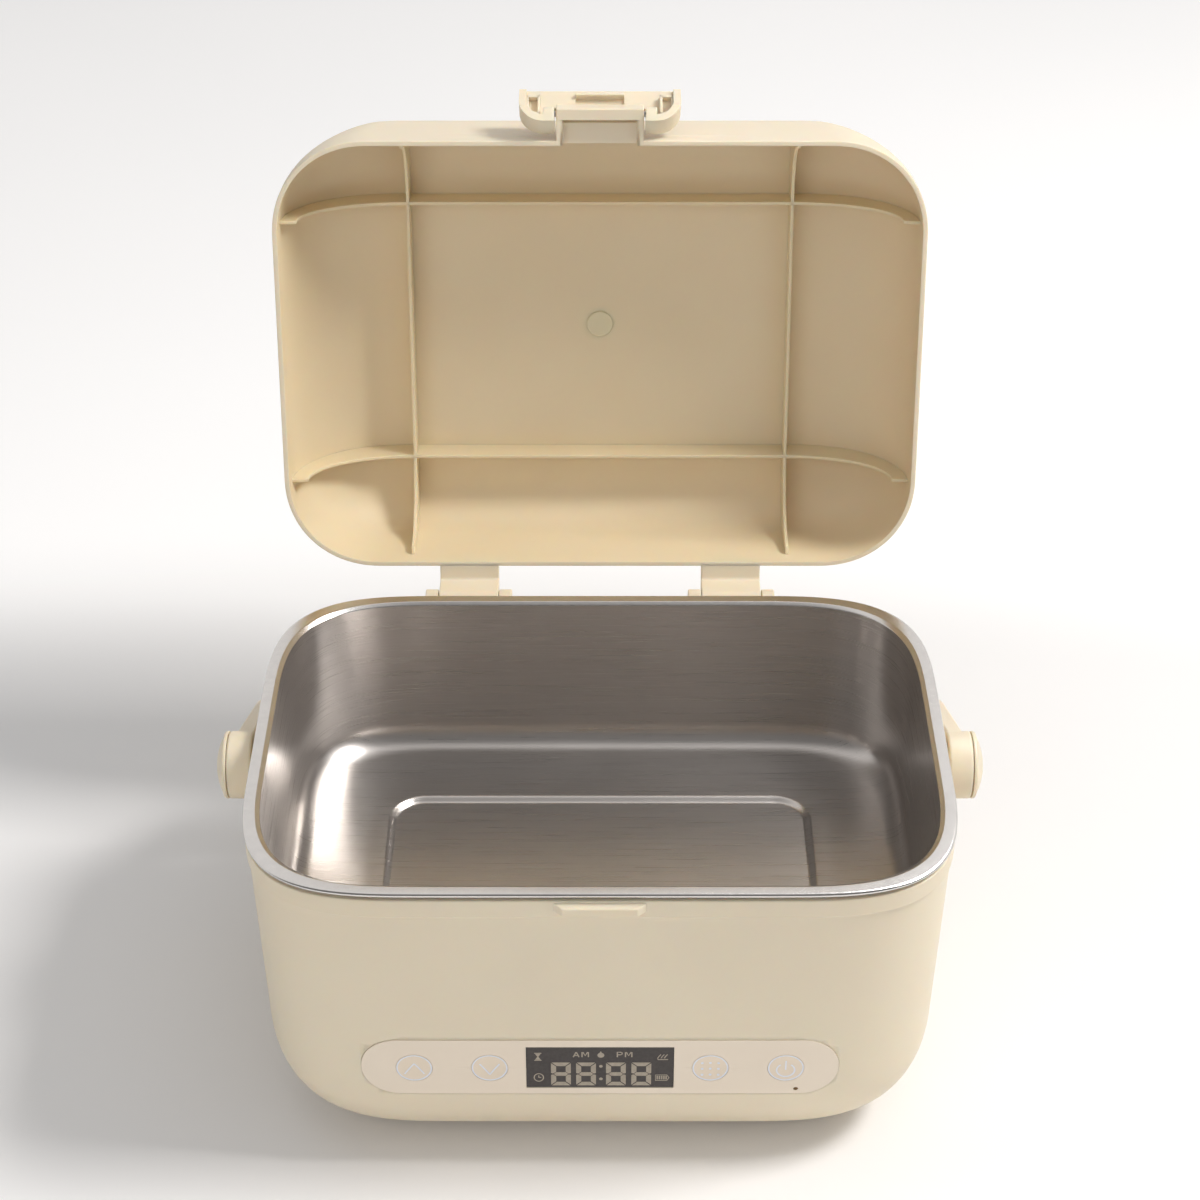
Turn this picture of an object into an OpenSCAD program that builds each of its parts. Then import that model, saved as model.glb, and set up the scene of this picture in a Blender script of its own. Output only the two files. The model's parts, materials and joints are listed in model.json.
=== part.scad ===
// Electric lunch box with a hinged lid, a lift-out steel container and a folding carry handle.
// Millimetres, +Z up, front of the box towards -Y.
// The origin lies on the table under the middle of the body.
// The lid is drawn open, the latch swung out and the handle folded back, as the box stands when it is filled.

/* [Steel container] */
// Width of the steel rim, left to right
rim_w = 236; // [210:1:260]
// Depth of the steel rim, front to back
rim_d = 170; // [150:1:190]
// Height of the steel rim above the table
rim_z = 125; // [118:1:140]
// Reach of the rounded corners along each side of the rim
rim_corner = 63; // [45:1:70]
// Width of the flat steel flange
flange_w = 5.4; // [4.6:0.1:8]
// Thickness of the steel sheet
sheet_t = 0.6; // [0.4:0.1:0.8]
// Height of the rolled edge round the flange
roll_h = 1.6; // [1.2:0.1:1.8]
// Depth of the container from rim to floor
pan_depth = 62; // [50:1:66]
// Radius between the container's wall and floor
pan_fillet = 9; // [5:0.5:14]
// Slope of the container's walls from upright, in degrees
pan_taper = 2.9; // [1:0.1:4]
// Width of the pressed panel in the container's floor
press_w = 153; // [120:1:170]
// Depth of the pressed panel, front to back
press_d = 89; // [70:1:100]
// How far the panel is pressed down
press_h = 1.5; // [0.8:0.1:2]

/* [Body] */
// Wall thickness of the outer shell
shell_t = 2.4; // [2:0.1:2.6]
// Slope of the shell's walls from upright, in degrees
shell_draft = 1.93; // [1:0.05:2.4]
// Gap between the steel rim and the top of the shell
rim_gap = 3; // [2.6:0.1:4]
// Height of the raised bead round the top of the shell
bead_h = 7.5; // [5:0.5:10]
// How far the bead stands out from the wall
bead_out = 0.6; // [0.3:0.1:1]
// Height of the rounding at the bottom of the walls
round_v = 44; // [34:1:48]
// Inward reach of the rounding at the bottom of the walls
round_h = 30; // [22:1:32]
// Height of the rubber feet
foot_h = 2; // [1.5:0.5:3]
// Diameter of the rubber feet
foot_d = 12; // [8:1:14]
// Thickness of the bottom cover
cover_t = 2; // [1.6:0.2:2.4]
// Thickness of the aluminium well
well_t = 0.8; // [0.6:0.1:1]

/* [Lid] */
// Wall thickness of the lid
lid_t = 1.8; // [1.4:0.1:2]
// Height of the lid from mouth to top
lid_h = 45; // [42:1:50]
// How far the lid's edge lies inside the steel rim at the sides
lid_in_x = 2.2; // [1.5:0.1:3.2]
// How far the lid's edge lies inside the steel rim at the front and rear
lid_in_y = 4.5; // [3.9:0.1:4.8]
// Corner radius of the lid's mouth
lid_corner = 34.3; // [28:0.1:38]
// Radius between the lid's side walls and its top
lid_side_r = 40; // [34:1:41]
// Radius between the lid's front and rear walls and its top
lid_front_r = 18; // [14:1:24]
// Gap between the lid's edge and the steel rim when it is closed
lid_gap = 0.3; // [0.2:0.1:0.6]
// Thickness of the ribs inside the lid
rib_t = 1.2; // [1:0.1:2]
// Height above the mouth of the ribs' free edge
rib_z = 32; // [28:1:36]
// Height above the mouth at which the ribs meet the walls
rib_low = 7; // [4:0.5:12]
// Distance of the front-to-back ribs from the middle
rib_x = 69.9; // [55:0.1:80]
// Distance of the side-to-side ribs from the middle
rib_y = 49.2; // [38:0.1:56]
// How far the lid stands open, in degrees
open_deg = 99.8; // [85:0.1:104]

/* [Hinge] */
// Distance of each hinge from the middle
hinge_x = 48.6; // [36:0.1:70]
// Width of each hinge arm
arm_w = 21.8; // [16:0.1:28]
// Thickness of each hinge ear
ear_t = 4.7; // [3:0.1:6]
// Distance of the hinge pin behind the steel rim
hinge_back = 6.5; // [6.2:0.1:8]
// Depth of the hinge pin below the steel rim
hinge_down = 7.2; // [6.5:0.1:8]
// Radius of the barrel at the end of each hinge arm
barrel_r = 4.8; // [4.2:0.1:5.2]
// Diameter of the hinge pins
pin_d = 3; // [2:0.1:4]

/* [Latch] */
// Width of the latch
latch_w = 56.4; // [48:0.1:64]
// Height of the latch when it is closed
latch_h = 15.8; // [15:0.1:17]
// Thickness of the latch's front plate
latch_t = 2.2; // [1.6:0.1:2.6]
// Depth of the latch's rim at its top
latch_deep = 9; // [8:0.1:10]
// Depth of the latch's rim at its foot
latch_shallow = 3.6; // [3:0.1:5]
// Thickness of the latch's rim
latch_rim = 2.6; // [2:0.1:3]
// Radius of the latch's upper corners
latch_r = 8.5; // [5:0.5:9]
// Width of the bracket on the lid that carries the latch
bracket_w = 30.6; // [26:0.1:36]
// How far the bracket stands out from the lid
bracket_out = 11.5; // [11:0.1:12.5]
// Diameter of the latch pin
latch_pin_d = 2; // [1.6:0.1:2.4]
// How far the closed latch leans in towards the body, in degrees
latch_lean = 20; // [16:1:22]
// How far the latch swings open, in degrees
latch_deg = 155; // [120:1:158]
// Width of the catch on the body
catch_w = 30; // [24:0.5:36]
// How far the catch stands out from the steel rim's front edge
catch_out = 2; // [1.6:0.1:2.6]

/* [Handle] */
// Distance of the handle pivot behind the middle
pivot_y = 5; // [0:0.5:8]
// Depth of the handle pivot below the steel rim
pivot_down = 17.2; // [16:0.1:22]
// Diameter of the handle's round hubs
hub_d = 23.4; // [20:0.1:26]
// Distance from the middle to the outer face of a hub
hub_x = 128.3; // [127.5:0.1:131]
// Distance from the middle to the outer face of a handle arm
bail_x = 129.8; // [129.5:0.1:133]
// Thickness of a handle arm, side to side
bail_t = 5.8; // [5:0.1:7]
// Width of the handle's strap
bail_w = 11; // [8:0.5:12]
// Gap between the handle's cross bar and the hinge that it swings past
bail_gap = 1.6; // [1.6:0.1:10]
// Thickness of the handle's cross bar
bar_t = 10; // [8:0.5:12]
// Outer corner radius of the handle
bail_r = 18; // [14:1:24]
// Angle of the folded handle below level, in degrees
fold_deg = 25; // [18:1:28]
// Diameter of the handle's pivot studs
stud_d = 6; // [4:0.5:7]
// Height of the dome on a pivot cap
dome_h = 4.2; // [2.5:0.1:5]

/* [Control panel] */
// Width of the panel
panel_w = 159; // [150:1:166]
// Height of the panel
panel_h = 25.3; // [22:0.1:28]
// Height of the panel's middle above the table
panel_z = 47.5; // [46:0.5:60]
// Depth of the seat in the shell that the panel lies in
panel_seat = 1.2; // [0.8:0.1:1.6]
// How far the panel stands proud of the wall
panel_proud = 0.2; // [0:0.1:0.4]
// Width of the display window
window_w = 49; // [44:0.5:54]
// Height of the display window
window_h = 19; // [15:0.5:20]
// Diameter of the buttons
button_d = 12.2; // [9:0.1:14]
// Distance of the inner buttons from the middle
button_in = 36.7; // [33.5:0.1:42]
// Distance of the outer buttons from the middle
button_out = 61.8; // [56:0.1:66]
// Travel of the buttons
travel = 0.5; // [0.3:0.1:0.8]

/* [Inside] */
// Diameter of a battery cell
cell_d = 18.4; // [14:0.1:19]
// Length of a battery cell
cell_l = 65; // [50:1:66]
// Thickness of the heating plate
heater_t = 3; // [2:0.5:4]
// Width of the heating element's loop
element_w = 118; // [90:1:126]
// Depth of the heating element's loop, front to back
element_dp = 62; // [54:1:66]
// Diameter of the heating element's tube
element_d = 6; // [4:0.5:6.5]
// Thickness of the circuit boards
board_t = 1.6; // [1:0.2:2]

/* [Hidden] */

$fn = 48;
cream = [0.84, 0.78, 0.69];
panel_cream = [0.86, 0.80, 0.74];
steel = [0.74, 0.72, 0.70];
aluminium = [0.80, 0.81, 0.82];
rubber = [0.16, 0.16, 0.16];
board_green = [0.10, 0.34, 0.22];
dark_part = [0.13, 0.13, 0.14];
smoke = [0.28, 0.27, 0.26];

// Fits between pieces
fit = 0.02;        // pressed or screwed pieces
run = 0.06;        // round a turning pin
slip = 0.3;        // pieces that pass or lie beside each other
lap = 0.6;         // how far a joined shape reaches into the next
seat = 0.2;        // under a piece that rests when the box is used

// Corner points per quarter, and the power that makes the rim's corners blend into its sides
corner_steps = 8;
rim_power = 3.35;
lid_power = 2.1;
corner_shrink = 0.6;   // how fast a corner's reach shrinks as a ring draws in

half_w = rim_w / 2;
half_d = rim_d / 2;

// Points of one ring: a rounded rectangle of half sizes a and b, with corners of reach r and a given power
function quarter(a, b, r, p) = [
    for (i = [0 : corner_steps]) let (t = 90 * i / corner_steps)
        [a - r + r * pow(cos(t), 2 / p), b - r + r * pow(sin(t), 2 / p)]
];
function reversed(list) = [for (i = [len(list) - 1 : -1 : 0]) list[i]];
function ring(a, b, r, p, z) = let (q = quarter(a, b, r, p), v = reversed(q)) [
    for (c = q) [c.x, c.y, z],
    for (c = v) [-c.x, c.y, z],
    for (c = q) [-c.x, -c.y, z],
    for (c = v) [c.x, -c.y, z]
];
// The ring of the steel rim drawn in by a distance
function rim_ring(inset, z) =
    ring(half_w - inset, half_d - inset, rim_corner - corner_shrink * inset, rim_power, z);

// Skin through rings, from the first to the last; closed joins the last to the first
module skin(rings, closed = false) {
    n = len(rings[0]);
    last = len(rings) - 1;
    function side(i, k) = [
        for (j = [0 : n - 1]) let (m = (j + 1) % n)
            for (face = [[i * n + j, i * n + m, k * n + m], [i * n + j, k * n + m, k * n + j]]) face
    ];
    walls = [for (i = [0 : last - 1]) for (face = side(i, i + 1)) face];
    ends = closed
        ? side(last, 0)
        : [[for (j = [n - 1 : -1 : 0]) j], [for (j = [0 : n - 1]) last * n + j]];
    polyhedron(points = [for (r = rings) for (p = r) p], faces = concat(walls, ends));
}

// Flat plate with round corners, its corners true arcs
module plate2d(w, d, r) {
    square([w - 2 * r, d], center = true);
    square([w, d - 2 * r], center = true);
    for (x = [-1, 1], y = [-1, 1])
        translate([x * (w / 2 - r), y * (d / 2 - r)]) circle(r);
}
module plate(w, d, r, z0, z1) {
    translate([0, 0, z0]) linear_extrude(z1 - z0) plate2d(w, d, r);
}
// Outline in the Y-Z plane, drawn out along X between two places
module along_x(x0, x1) {
    translate([x0, 0, 0]) rotate([90, 0, 90]) linear_extrude(x1 - x0) children();
}
// Round bar along X
module bar_x(x0, x1, y, z, d) {
    translate([x0, y, z]) rotate([0, 90, 0]) cylinder(h = x1 - x0, d = d);
}
// Round bar along Y
module bar_y(y0, y1, x, z, d) {
    translate([x, y0, z]) rotate([-90, 0, 0]) cylinder(h = y1 - y0, d = d);
}
// Block between two corners
module block(low, high) {
    translate(low) cube(high - low);
}

// ---- Body ----
shell_top = rim_z - rim_gap;
shell_base = foot_h;
lip_in = 0.9;                 // top of the shell, drawn in from the steel rim
bead_in = 0.4;                // bead, drawn in from the steel rim
bead_edge = 0.6;              // height of the bead's rounded edges
wall_in = bead_in + bead_out + 0.1;
bead_low = shell_top - bead_h;
round_z = shell_base + round_v;
wall_slope = tan(shell_draft);
function wall_inset(z) = wall_in + (bead_low - z) * wall_slope;
round_in = wall_inset(round_z);
round_steps = 6;

floor_t = cover_t + 2;                       // thickness of the shell's floor round the bottom cover
floor_z = shell_base + floor_t;
ledge_in = 12;                               // width of the ledge that the bottom cover is screwed to
cover_r = 20;
cover_fit = 0.2;
recess_z = shell_base + cover_t + 0.1;

function shell_outside() = [
    rim_ring(lip_in, shell_top),
    rim_ring(bead_in, shell_top - bead_edge),
    rim_ring(bead_in, bead_low + bead_edge),
    rim_ring(wall_in, bead_low),
    for (i = [0 : round_steps]) let (t = 90 * i / round_steps)
        rim_ring(round_in + round_h * (1 - cos(t)), round_z - round_v * sin(t))
];
function cover_ring(grow, z) =
    ring(cover_w / 2 + grow, cover_d / 2 + grow, cover_r + min(grow, 0), 2, z);
function shell_inside() = [
    for (i = [round_steps : -1 : 0]) let (t = 90 * i / round_steps)
        rim_ring(round_in + shell_t + (round_h - shell_t) * (1 - cos(t)),
                 round_z - (round_z - floor_z) * sin(t)),
    rim_ring(lip_in + shell_t, shell_top)
];

// Hinge, seen from the side
hinge_y = half_d + hinge_back;
hinge_z = rim_z - hinge_down;
ear_r = barrel_r - 0.3;
ear_gap = 0.35;
ear_low = 14;                 // how far the ear reaches down the wall
wall_rear = half_d - wall_in - wall_slope * ear_low - lap;

module ear_outline() {
    translate([hinge_y, hinge_z]) circle(ear_r);
    polygon([
        [wall_rear, shell_top - bead_edge], [hinge_y, hinge_z + ear_r],
        [hinge_y, hinge_z - ear_r], [wall_rear, hinge_z - ear_low]
    ]);
}
module hinge_ears() {
    for (side = [-1, 1], end = [-1, 1])
        let (middle = side * hinge_x + end * (arm_w / 2 + ear_gap + ear_t / 2))
            along_x(middle - ear_t / 2, middle + ear_t / 2) ear_outline();
}

// Handle pivot, one on each side
pivot_z = rim_z - pivot_down;
boss_d = hub_d - 4.4;
boss_x = half_w + 1.4;                        // outer face of the pivot boss on the shell
stud_in = half_w - lip_in - shell_t + lap;    // how deep the stud's hole goes

// Catch under which the latch hooks
catch_y = half_d + catch_out;
catch_top = shell_top - 1.5;
catch_low = shell_top - 4.5;
module catch_outline() {
    polygon([
        [-(half_d - wall_in - shell_t / 2), shell_top - bead_edge],
        [-(half_d - bead_in), shell_top - bead_edge],
        [-catch_y, catch_top], [-catch_y, catch_low], [-(half_d - wall_in - shell_t / 2), catch_low]
    ]);
}
catch_chamfer = 3;
module catch() {
    intersection() {
        along_x(-catch_w / 2, catch_w / 2) catch_outline();
        linear_extrude(shell_top) polygon([
            [-catch_w / 2, 0], [-catch_w / 2, -(half_d - bead_in)], [-catch_w / 2 + catch_chamfer, -catch_y],
            [catch_w / 2 - catch_chamfer, -catch_y], [catch_w / 2, -(half_d - bead_in)], [catch_w / 2, 0]
        ]);
    }
}

// Battery tray: two banks of cells, end to end
cell_gap = 0.4;
tray_x = cell_l + 6.5;                       // half the tray's width
tray_y = 2 * (cell_d + cell_gap) + 0.9;      // half its depth

// Bottom screws, each in a boss beside the battery tray
screw_d = 2.6;
screw_head_d = 5;
screw_head_h = 1.2;
screw_l = 9;
boss_h = 8;
screw_boss_d = 6;
boss_gap = 0.9;
screw_edge = 4.6;                            // distance of a screw from the bottom cover's edge
side_screw_y = 24;
cover_w = 2 * (tray_x + boss_gap + screw_boss_d / 2 + screw_edge);
cover_d = 2 * (tray_y + boss_gap + screw_boss_d / 2 + screw_edge);
cover_screw_places = concat(
    [for (x = [-1, 1], y = [-1, 1]) [x * (cover_w / 2 - screw_edge), y * side_screw_y]],
    [for (y = [-1, 1]) [0, y * (cover_d / 2 - screw_edge)]]
);

// Charging socket at the rear
socket_x = 62;
socket_z = 47;
socket_wall = half_d - wall_inset(socket_z);
socket_nose_d = 8;

// Panel opening, cut straight through the front wall
module panel_outline(grow) {
    h = panel_h / 2 + grow;
    reach = panel_w / 2 - panel_h / 2;
    square([2 * reach, 2 * h], center = true);
    for (x = [-1, 1]) translate([x * reach, 0]) circle(h);
}
module panel_prism(grow, depth) {
    translate([0, 0, panel_z]) rotate([90, 0, 0]) linear_extrude(depth) panel_outline(grow);
}
panel_fit = 0.12;
panel_ledge = 2.5;            // width of the ledge that the panel rests on

module outer_shell() {
    color(cream) difference() {
        union() {
            skin(concat(
                shell_outside(),
                [cover_ring(cover_fit, shell_base), cover_ring(cover_fit, recess_z),
                 cover_ring(-ledge_in, recess_z), cover_ring(-ledge_in, floor_z)],
                shell_inside()
            ), closed = true);
            hinge_ears();
            catch();
            for (s = [-1, 1])
                bar_x(min(s * (boss_x - 4.2), s * boss_x), max(s * (boss_x - 4.2), s * boss_x),
                      pivot_y, pivot_z, boss_d);
            for (p = cover_screw_places)
                translate([p.x, p.y, floor_z - lap]) cylinder(h = boss_h + lap, d = screw_boss_d);
        }
        for (s = [-1, 1]) {
            bar_x(s * hinge_x - arm_w, s * hinge_x + arm_w, hinge_y, hinge_z, pin_d + 2 * fit);
            bar_x(min(s * stud_in, s * (boss_x + lap)), max(s * stud_in, s * (boss_x + lap)),
                  pivot_y, pivot_z, stud_d + 2 * fit);
        }
        for (p = cover_screw_places)
            translate([p.x, p.y, 0]) cylinder(h = floor_z + boss_h - 1, d = screw_d + 2 * fit);
        panel_prism(-panel_ledge, half_d + catch_out);
        intersection() {
            panel_band(bead_h, panel_seat + fit);
            panel_prism(panel_fit, half_d + catch_out);
        }
        bar_y(socket_wall - 12, socket_wall + 6, socket_x, socket_z, socket_nose_d + 2 * fit);
    }
}

// Bare field for a label, raised in the middle of the underside, with vents on both sides of it
label_w = 44;
label_d = 30;
label_proud = 0.3;
vent_w = 2.4;
vent_l = 32;
vent_step = 8;
vent_count = 4;
module bottom_cover() {
    color(cream) difference() {
        union() {
            plate(cover_w, cover_d, cover_r, shell_base, shell_base + cover_t);
            plate(label_w, label_d, 3, shell_base - label_proud, shell_base + cover_t);
        }
        for (p = cover_screw_places) translate([p.x, p.y, 0]) {
            cylinder(h = rim_z, d = screw_d + 4 * fit);
            translate([0, 0, shell_base - 1]) cylinder(h = 1 + screw_head_h, d = screw_head_d + slip);
        }
        for (s = [-1, 1], i = [1 : vent_count]) translate([s * (label_w / 2 + i * vent_step - 2), 0, 0])
            block([-vent_w / 2, -vent_l / 2, 0], [vent_w / 2, vent_l / 2, rim_z]);
    }
}

foot_in_x = 15;                              // distance of a foot's middle from the bottom cover's edge
foot_in_y = 13;
foot_places = [for (x = [-1, 1], y = [-1, 1]) [x * (cover_w / 2 - foot_in_x), y * (cover_d / 2 - foot_in_y)]];
foot_edge = 0.6;
module rubber_feet() {
    color(rubber) for (p = foot_places)
        translate([p.x, p.y, 0]) rotate_extrude() polygon([
            [0, 0], [foot_d / 2 - foot_edge, 0], [foot_d / 2, foot_edge], [foot_d / 2, foot_h], [0, foot_h]
        ]);
}

module cover_screws() {
    color(steel) for (p = cover_screw_places) translate([p.x, p.y, shell_base]) difference() {
        union() {
            translate([0, 0, 0.1]) cylinder(h = screw_head_h - 0.1, d = screw_head_d);
            cylinder(h = screw_l, d = screw_d);
        }
        translate([-screw_head_d, -0.4, -1]) cube([2 * screw_head_d, 0.8, 1.6]);
    }
}

// ---- Steel container and the well that holds it ----
pan_floor = rim_z - pan_depth;
flange_under = rim_z - sheet_t - 0.05;
roll_r = 0.4;
roll_t = 1.4;
neck = 0.2;                                  // how far the wall runs out where it meets the flange
pan_slope = tan(pan_taper);
fillet_steps = 3;

// Rings of a tub's wall from its floor up to a height, drawn in from the steel rim
function tub(inset, top, floor, r) = [
    for (i = [0 : fillet_steps]) let (t = 90 * i / fillet_steps)
        rim_ring(inset + (top - floor - r) * pan_slope + r * (1 - sin(t)), floor + r * (1 - cos(t))),
    rim_ring(inset, top)
];
function press_ring(grow, z) = ring(press_w / 2 + grow, press_d / 2 + grow, 13 + grow, 2, z);

module food_container() {
    inside_top = rim_z - 0.8;
    under_top = rim_z - 1.5;
    color(steel) skin(concat(
        [press_ring(-2, pan_floor - press_h), press_ring(0, pan_floor)],
        tub(flange_w, inside_top, pan_floor, pan_fillet),
        [rim_ring(flange_w - 0.7, rim_z), rim_ring(roll_r, rim_z), rim_ring(0, rim_z - roll_r),
         rim_ring(0, rim_z - roll_h + roll_r), rim_ring(roll_r, rim_z - roll_h),
         rim_ring(roll_t, rim_z - roll_h), rim_ring(roll_t, flange_under),
         rim_ring(flange_w - sheet_t - neck, flange_under)],
        reversed(tub(flange_w - sheet_t, under_top, pan_floor - sheet_t, pan_fillet + sheet_t)),
        [press_ring(0.2, pan_floor - sheet_t), press_ring(-1.8, pan_floor - press_h - sheet_t)]
    ));
}

well_in = flange_w - sheet_t - slip;            // inside of the well, drawn in from the steel rim
well_floor = pan_floor - press_h - sheet_t - slip;
well_top = flange_under - seat;
collar_low = shell_top + 0.1;
sensor_d = 10;
well_fillet = pan_fillet - 1.5;                 // tighter than the container's, so that it clears its corner
module inner_well() {
    color(aluminium) difference() {
        skin(concat(
            tub(well_in, well_top, well_floor, well_fillet),
            [rim_ring(lip_in + 0.9, well_top), rim_ring(lip_in + 0.9, collar_low),
             rim_ring(well_in - well_t, collar_low)],
            reversed(tub(well_in - well_t, collar_low - well_t, well_floor - well_t, well_fillet + well_t))
        ));
        translate([0, 0, well_floor - 3]) cylinder(h = 6, d = sensor_d + 2 * slip);
    }
}

// ---- Heater under the well ----
plate_top = well_floor - well_t - 0.05;
plate_low = plate_top - heater_t;
element_r = 16;
element_z = plate_low - element_d / 2;
plate_w = element_w + 32;
plate_d = element_dp + 28;
module heating_plate() {
    color(aluminium) difference() {
        plate(plate_w, plate_d, element_r - 2, plate_low, plate_top);
        translate([0, 0, plate_low - 1]) cylinder(h = heater_t + 2, d = sensor_d + 2 * slip);
    }
}

// Terminal posts on the element's front side
post_in = 9;
post_h = 9;
post_d = 3;
module heating_element() {
    color([0.35, 0.32, 0.30]) translate([0, 0, element_z]) {
        for (y = [-1, 1])
            bar_x(element_r - element_w / 2, element_w / 2 - element_r, y * element_dp / 2, 0, element_d);
        for (x = [-1, 1])
            bar_y(element_r - element_dp / 2, element_dp / 2 - element_r, x * element_w / 2, 0, element_d);
        for (x = [-1, 1], y = [-1, 1])
            translate([x * (element_w / 2 - element_r), y * (element_dp / 2 - element_r), 0])
                rotate([0, 0, x > 0 ? (y > 0 ? 0 : 270) : (y > 0 ? 90 : 180)])
                    rotate_extrude(angle = 90) translate([element_r, 0]) circle(element_d / 2);
        for (x = [-1, 1]) translate([x * post_in, -element_dp / 2, -post_h]) cylinder(h = post_h, d = post_d);
    }
}

// Saddle clamps over the element's long sides
clamp_t = 1.2;
clamp_w = 10;
clamp_x = element_w * 0.27;
clamp_half = element_d / 2 + 8;
clamp_leg = 2;
module element_clamps() {
    color(steel) for (x = [-1, 1], y = [-1, 1])
        translate([x * clamp_x, y * element_dp / 2, element_z - element_d / 2 - fit]) {
            block([-clamp_w / 2, -clamp_half, -clamp_t], [clamp_w / 2, clamp_half, 0]);
            for (s = [-1, 1]) {
                leg = s * (clamp_half - clamp_leg / 2);
                block([-clamp_w / 2, leg - clamp_leg / 2, 0],
                      [clamp_w / 2, leg + clamp_leg / 2, element_d + fit]);
            }
        }
}

shield_top = element_z - element_d / 2 - 4.6;
shield_t = 0.8;
shield_w = plate_w + 18;
shield_d = plate_d + 14;
shield_r = element_r + 2;
module shield_hole() {
    translate([0, -element_dp / 2, shield_top - 4]) linear_extrude(12)
        square([2 * post_in + 8, 10], center = true);
}
module heat_shield() {
    color(aluminium) difference() {
        plate(shield_w, shield_d, shield_r, shield_top - shield_t, shield_top);
        shield_hole();
    }
}
standoff_in = 5;                             // distance of a standoff's middle from the heating plate's edges
standoff_d = 5;
standoff_places = [for (x = [-1, 1], y = [-1, 1])
    [x * (plate_w / 2 - standoff_in), y * (plate_d / 2 - standoff_in)]];
module shield_standoffs() {
    color(steel) for (p = standoff_places)
        translate([p.x, p.y, shield_top]) cylinder(h = plate_low - shield_top, d = standoff_d);
}
pad_t = 2.4;
pad_in = 1;
module insulation_pad() {
    color([0.90, 0.89, 0.85]) difference() {
        plate(shield_w - 2 * pad_in, shield_d - 2 * pad_in, shield_r, shield_top - shield_t - pad_t,
              shield_top - shield_t);
        shield_hole();
    }
}

sensor_flange = 3;
module temperature_sensor() {
    tip = pan_floor - press_h - sheet_t - seat;
    low = plate_low - sensor_flange - 1;
    color(steel) {
        translate([0, 0, low]) cylinder(h = tip - low, d = sensor_d);
        translate([0, 0, plate_low - sensor_flange]) cylinder(h = sensor_flange, d = sensor_d + 6);
    }
}

fuse_d = 4.4;
fuse_l = 20;
fuse_in = 12;                                // distance of the fuse from the element's rear side
module thermal_fuse() {
    y = element_dp / 2 - fuse_in;
    color([0.85, 0.82, 0.74]) {
        bar_x(-fuse_l / 2, fuse_l / 2, y, plate_low - 0.7 * fuse_d, fuse_d);
        block([-0.35 * fuse_l, y - 3, plate_low - 1.2], [0.35 * fuse_l, y + 3, plate_low]);
    }
}

// ---- Battery ----
tray_t = 2;
tray_low = floor_z;
cell_z = tray_low + tray_t + cell_d / 2 + 0.3;
cell_rows = 4;
function cell_y(i) = (i - (cell_rows - 1) / 2) * (cell_d + cell_gap);
tray_post_d = 5;
tray_post_x = tray_x - 3;
tray_post_y = cell_y(3) + 1.8;
board_z = tray_low + tray_t + cell_d + 6;
module battery_tray() {
    color(dark_part) difference() {
        union() {
            block([-tray_x, -tray_y, tray_low], [tray_x, tray_y, tray_low + tray_t]);
            // Wall between the two banks of cells
            block([-0.4, -tray_y, tray_low], [0.4, tray_y, tray_low + 10]);
            for (x = [-1, 1], y = [-1, 1])
                translate([x * tray_post_x, y * tray_post_y, tray_low])
                    cylinder(h = board_z - tray_low, d = tray_post_d);
        }
        // Saddles that the cells lie in
        for (i = [0 : cell_rows - 1]) {
            bar_x(-cell_l - 1, -0.4, cell_y(i), cell_z, cell_d + 2 * run);
            bar_x(0.4, cell_l + 1, cell_y(i), cell_z, cell_d + 2 * run);
        }
    }
}
module battery_cells() {
    color([0.16, 0.36, 0.62]) for (i = [0 : cell_rows - 1], s = [-1, 1])
        bar_x(s < 0 ? -cell_l - 0.5 : 0.5, s < 0 ? -0.5 : cell_l + 0.5, cell_y(i), cell_z, cell_d);
}
strap_t = 0.3;
strap_half = 4;
module cell_straps() {
    x0 = cell_l + 0.5;
    color([0.78, 0.77, 0.72]) for (s = [-1, 1], pair = [0, 2])
        block([min(s * x0, s * (x0 + strap_t)), cell_y(pair) - strap_half, cell_z - strap_half],
              [max(s * x0, s * (x0 + strap_t)), cell_y(pair + 1) + strap_half, cell_z + strap_half]);
}
// Protection board on top of the cells, with its row of flat chips
guard_l = 40;
guard_d = 18;
guard_x = -38;
guard_gap = 0.4;
chip_w = 6;
chip_l = 8;
chip_h = 1.4;
chip_step = 9;
module battery_board() {
    low = cell_z + cell_d / 2 + guard_gap;
    top = low + board_t;
    color(board_green)
        block([guard_x - guard_l / 2, -guard_d / 2, low], [guard_x + guard_l / 2, guard_d / 2, top]);
    color(dark_part) for (i = [0 : 3]) {
        x = guard_x + (i - 1.5) * chip_step;
        block([x - chip_w / 2, -chip_l / 2, top], [x + chip_w / 2, chip_l / 2, top + chip_h]);
    }
}

// ---- Main board ----
board_x = tray_x + 2.5;
board_y = tray_post_y + 4;
board_top = board_z + board_t;
module main_board() {
    color(board_green) difference() {
        block([-board_x, -board_y, board_z], [board_x, board_y, board_top]);
        for (x = [-1, 1], y = [-1, 1])
            translate([x * tray_post_x, y * tray_post_y, board_z - 1]) cylinder(h = board_t + 2, d = 2.4);
    }
}
part_room = shield_top - shield_t - pad_t - board_top - 0.6;
can_d = 9;
can_h = 7;
can_step = 12;
can_x = 28;
part_y = board_y / 2;                        // middle of the rows of parts behind and before the board's middle
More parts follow.
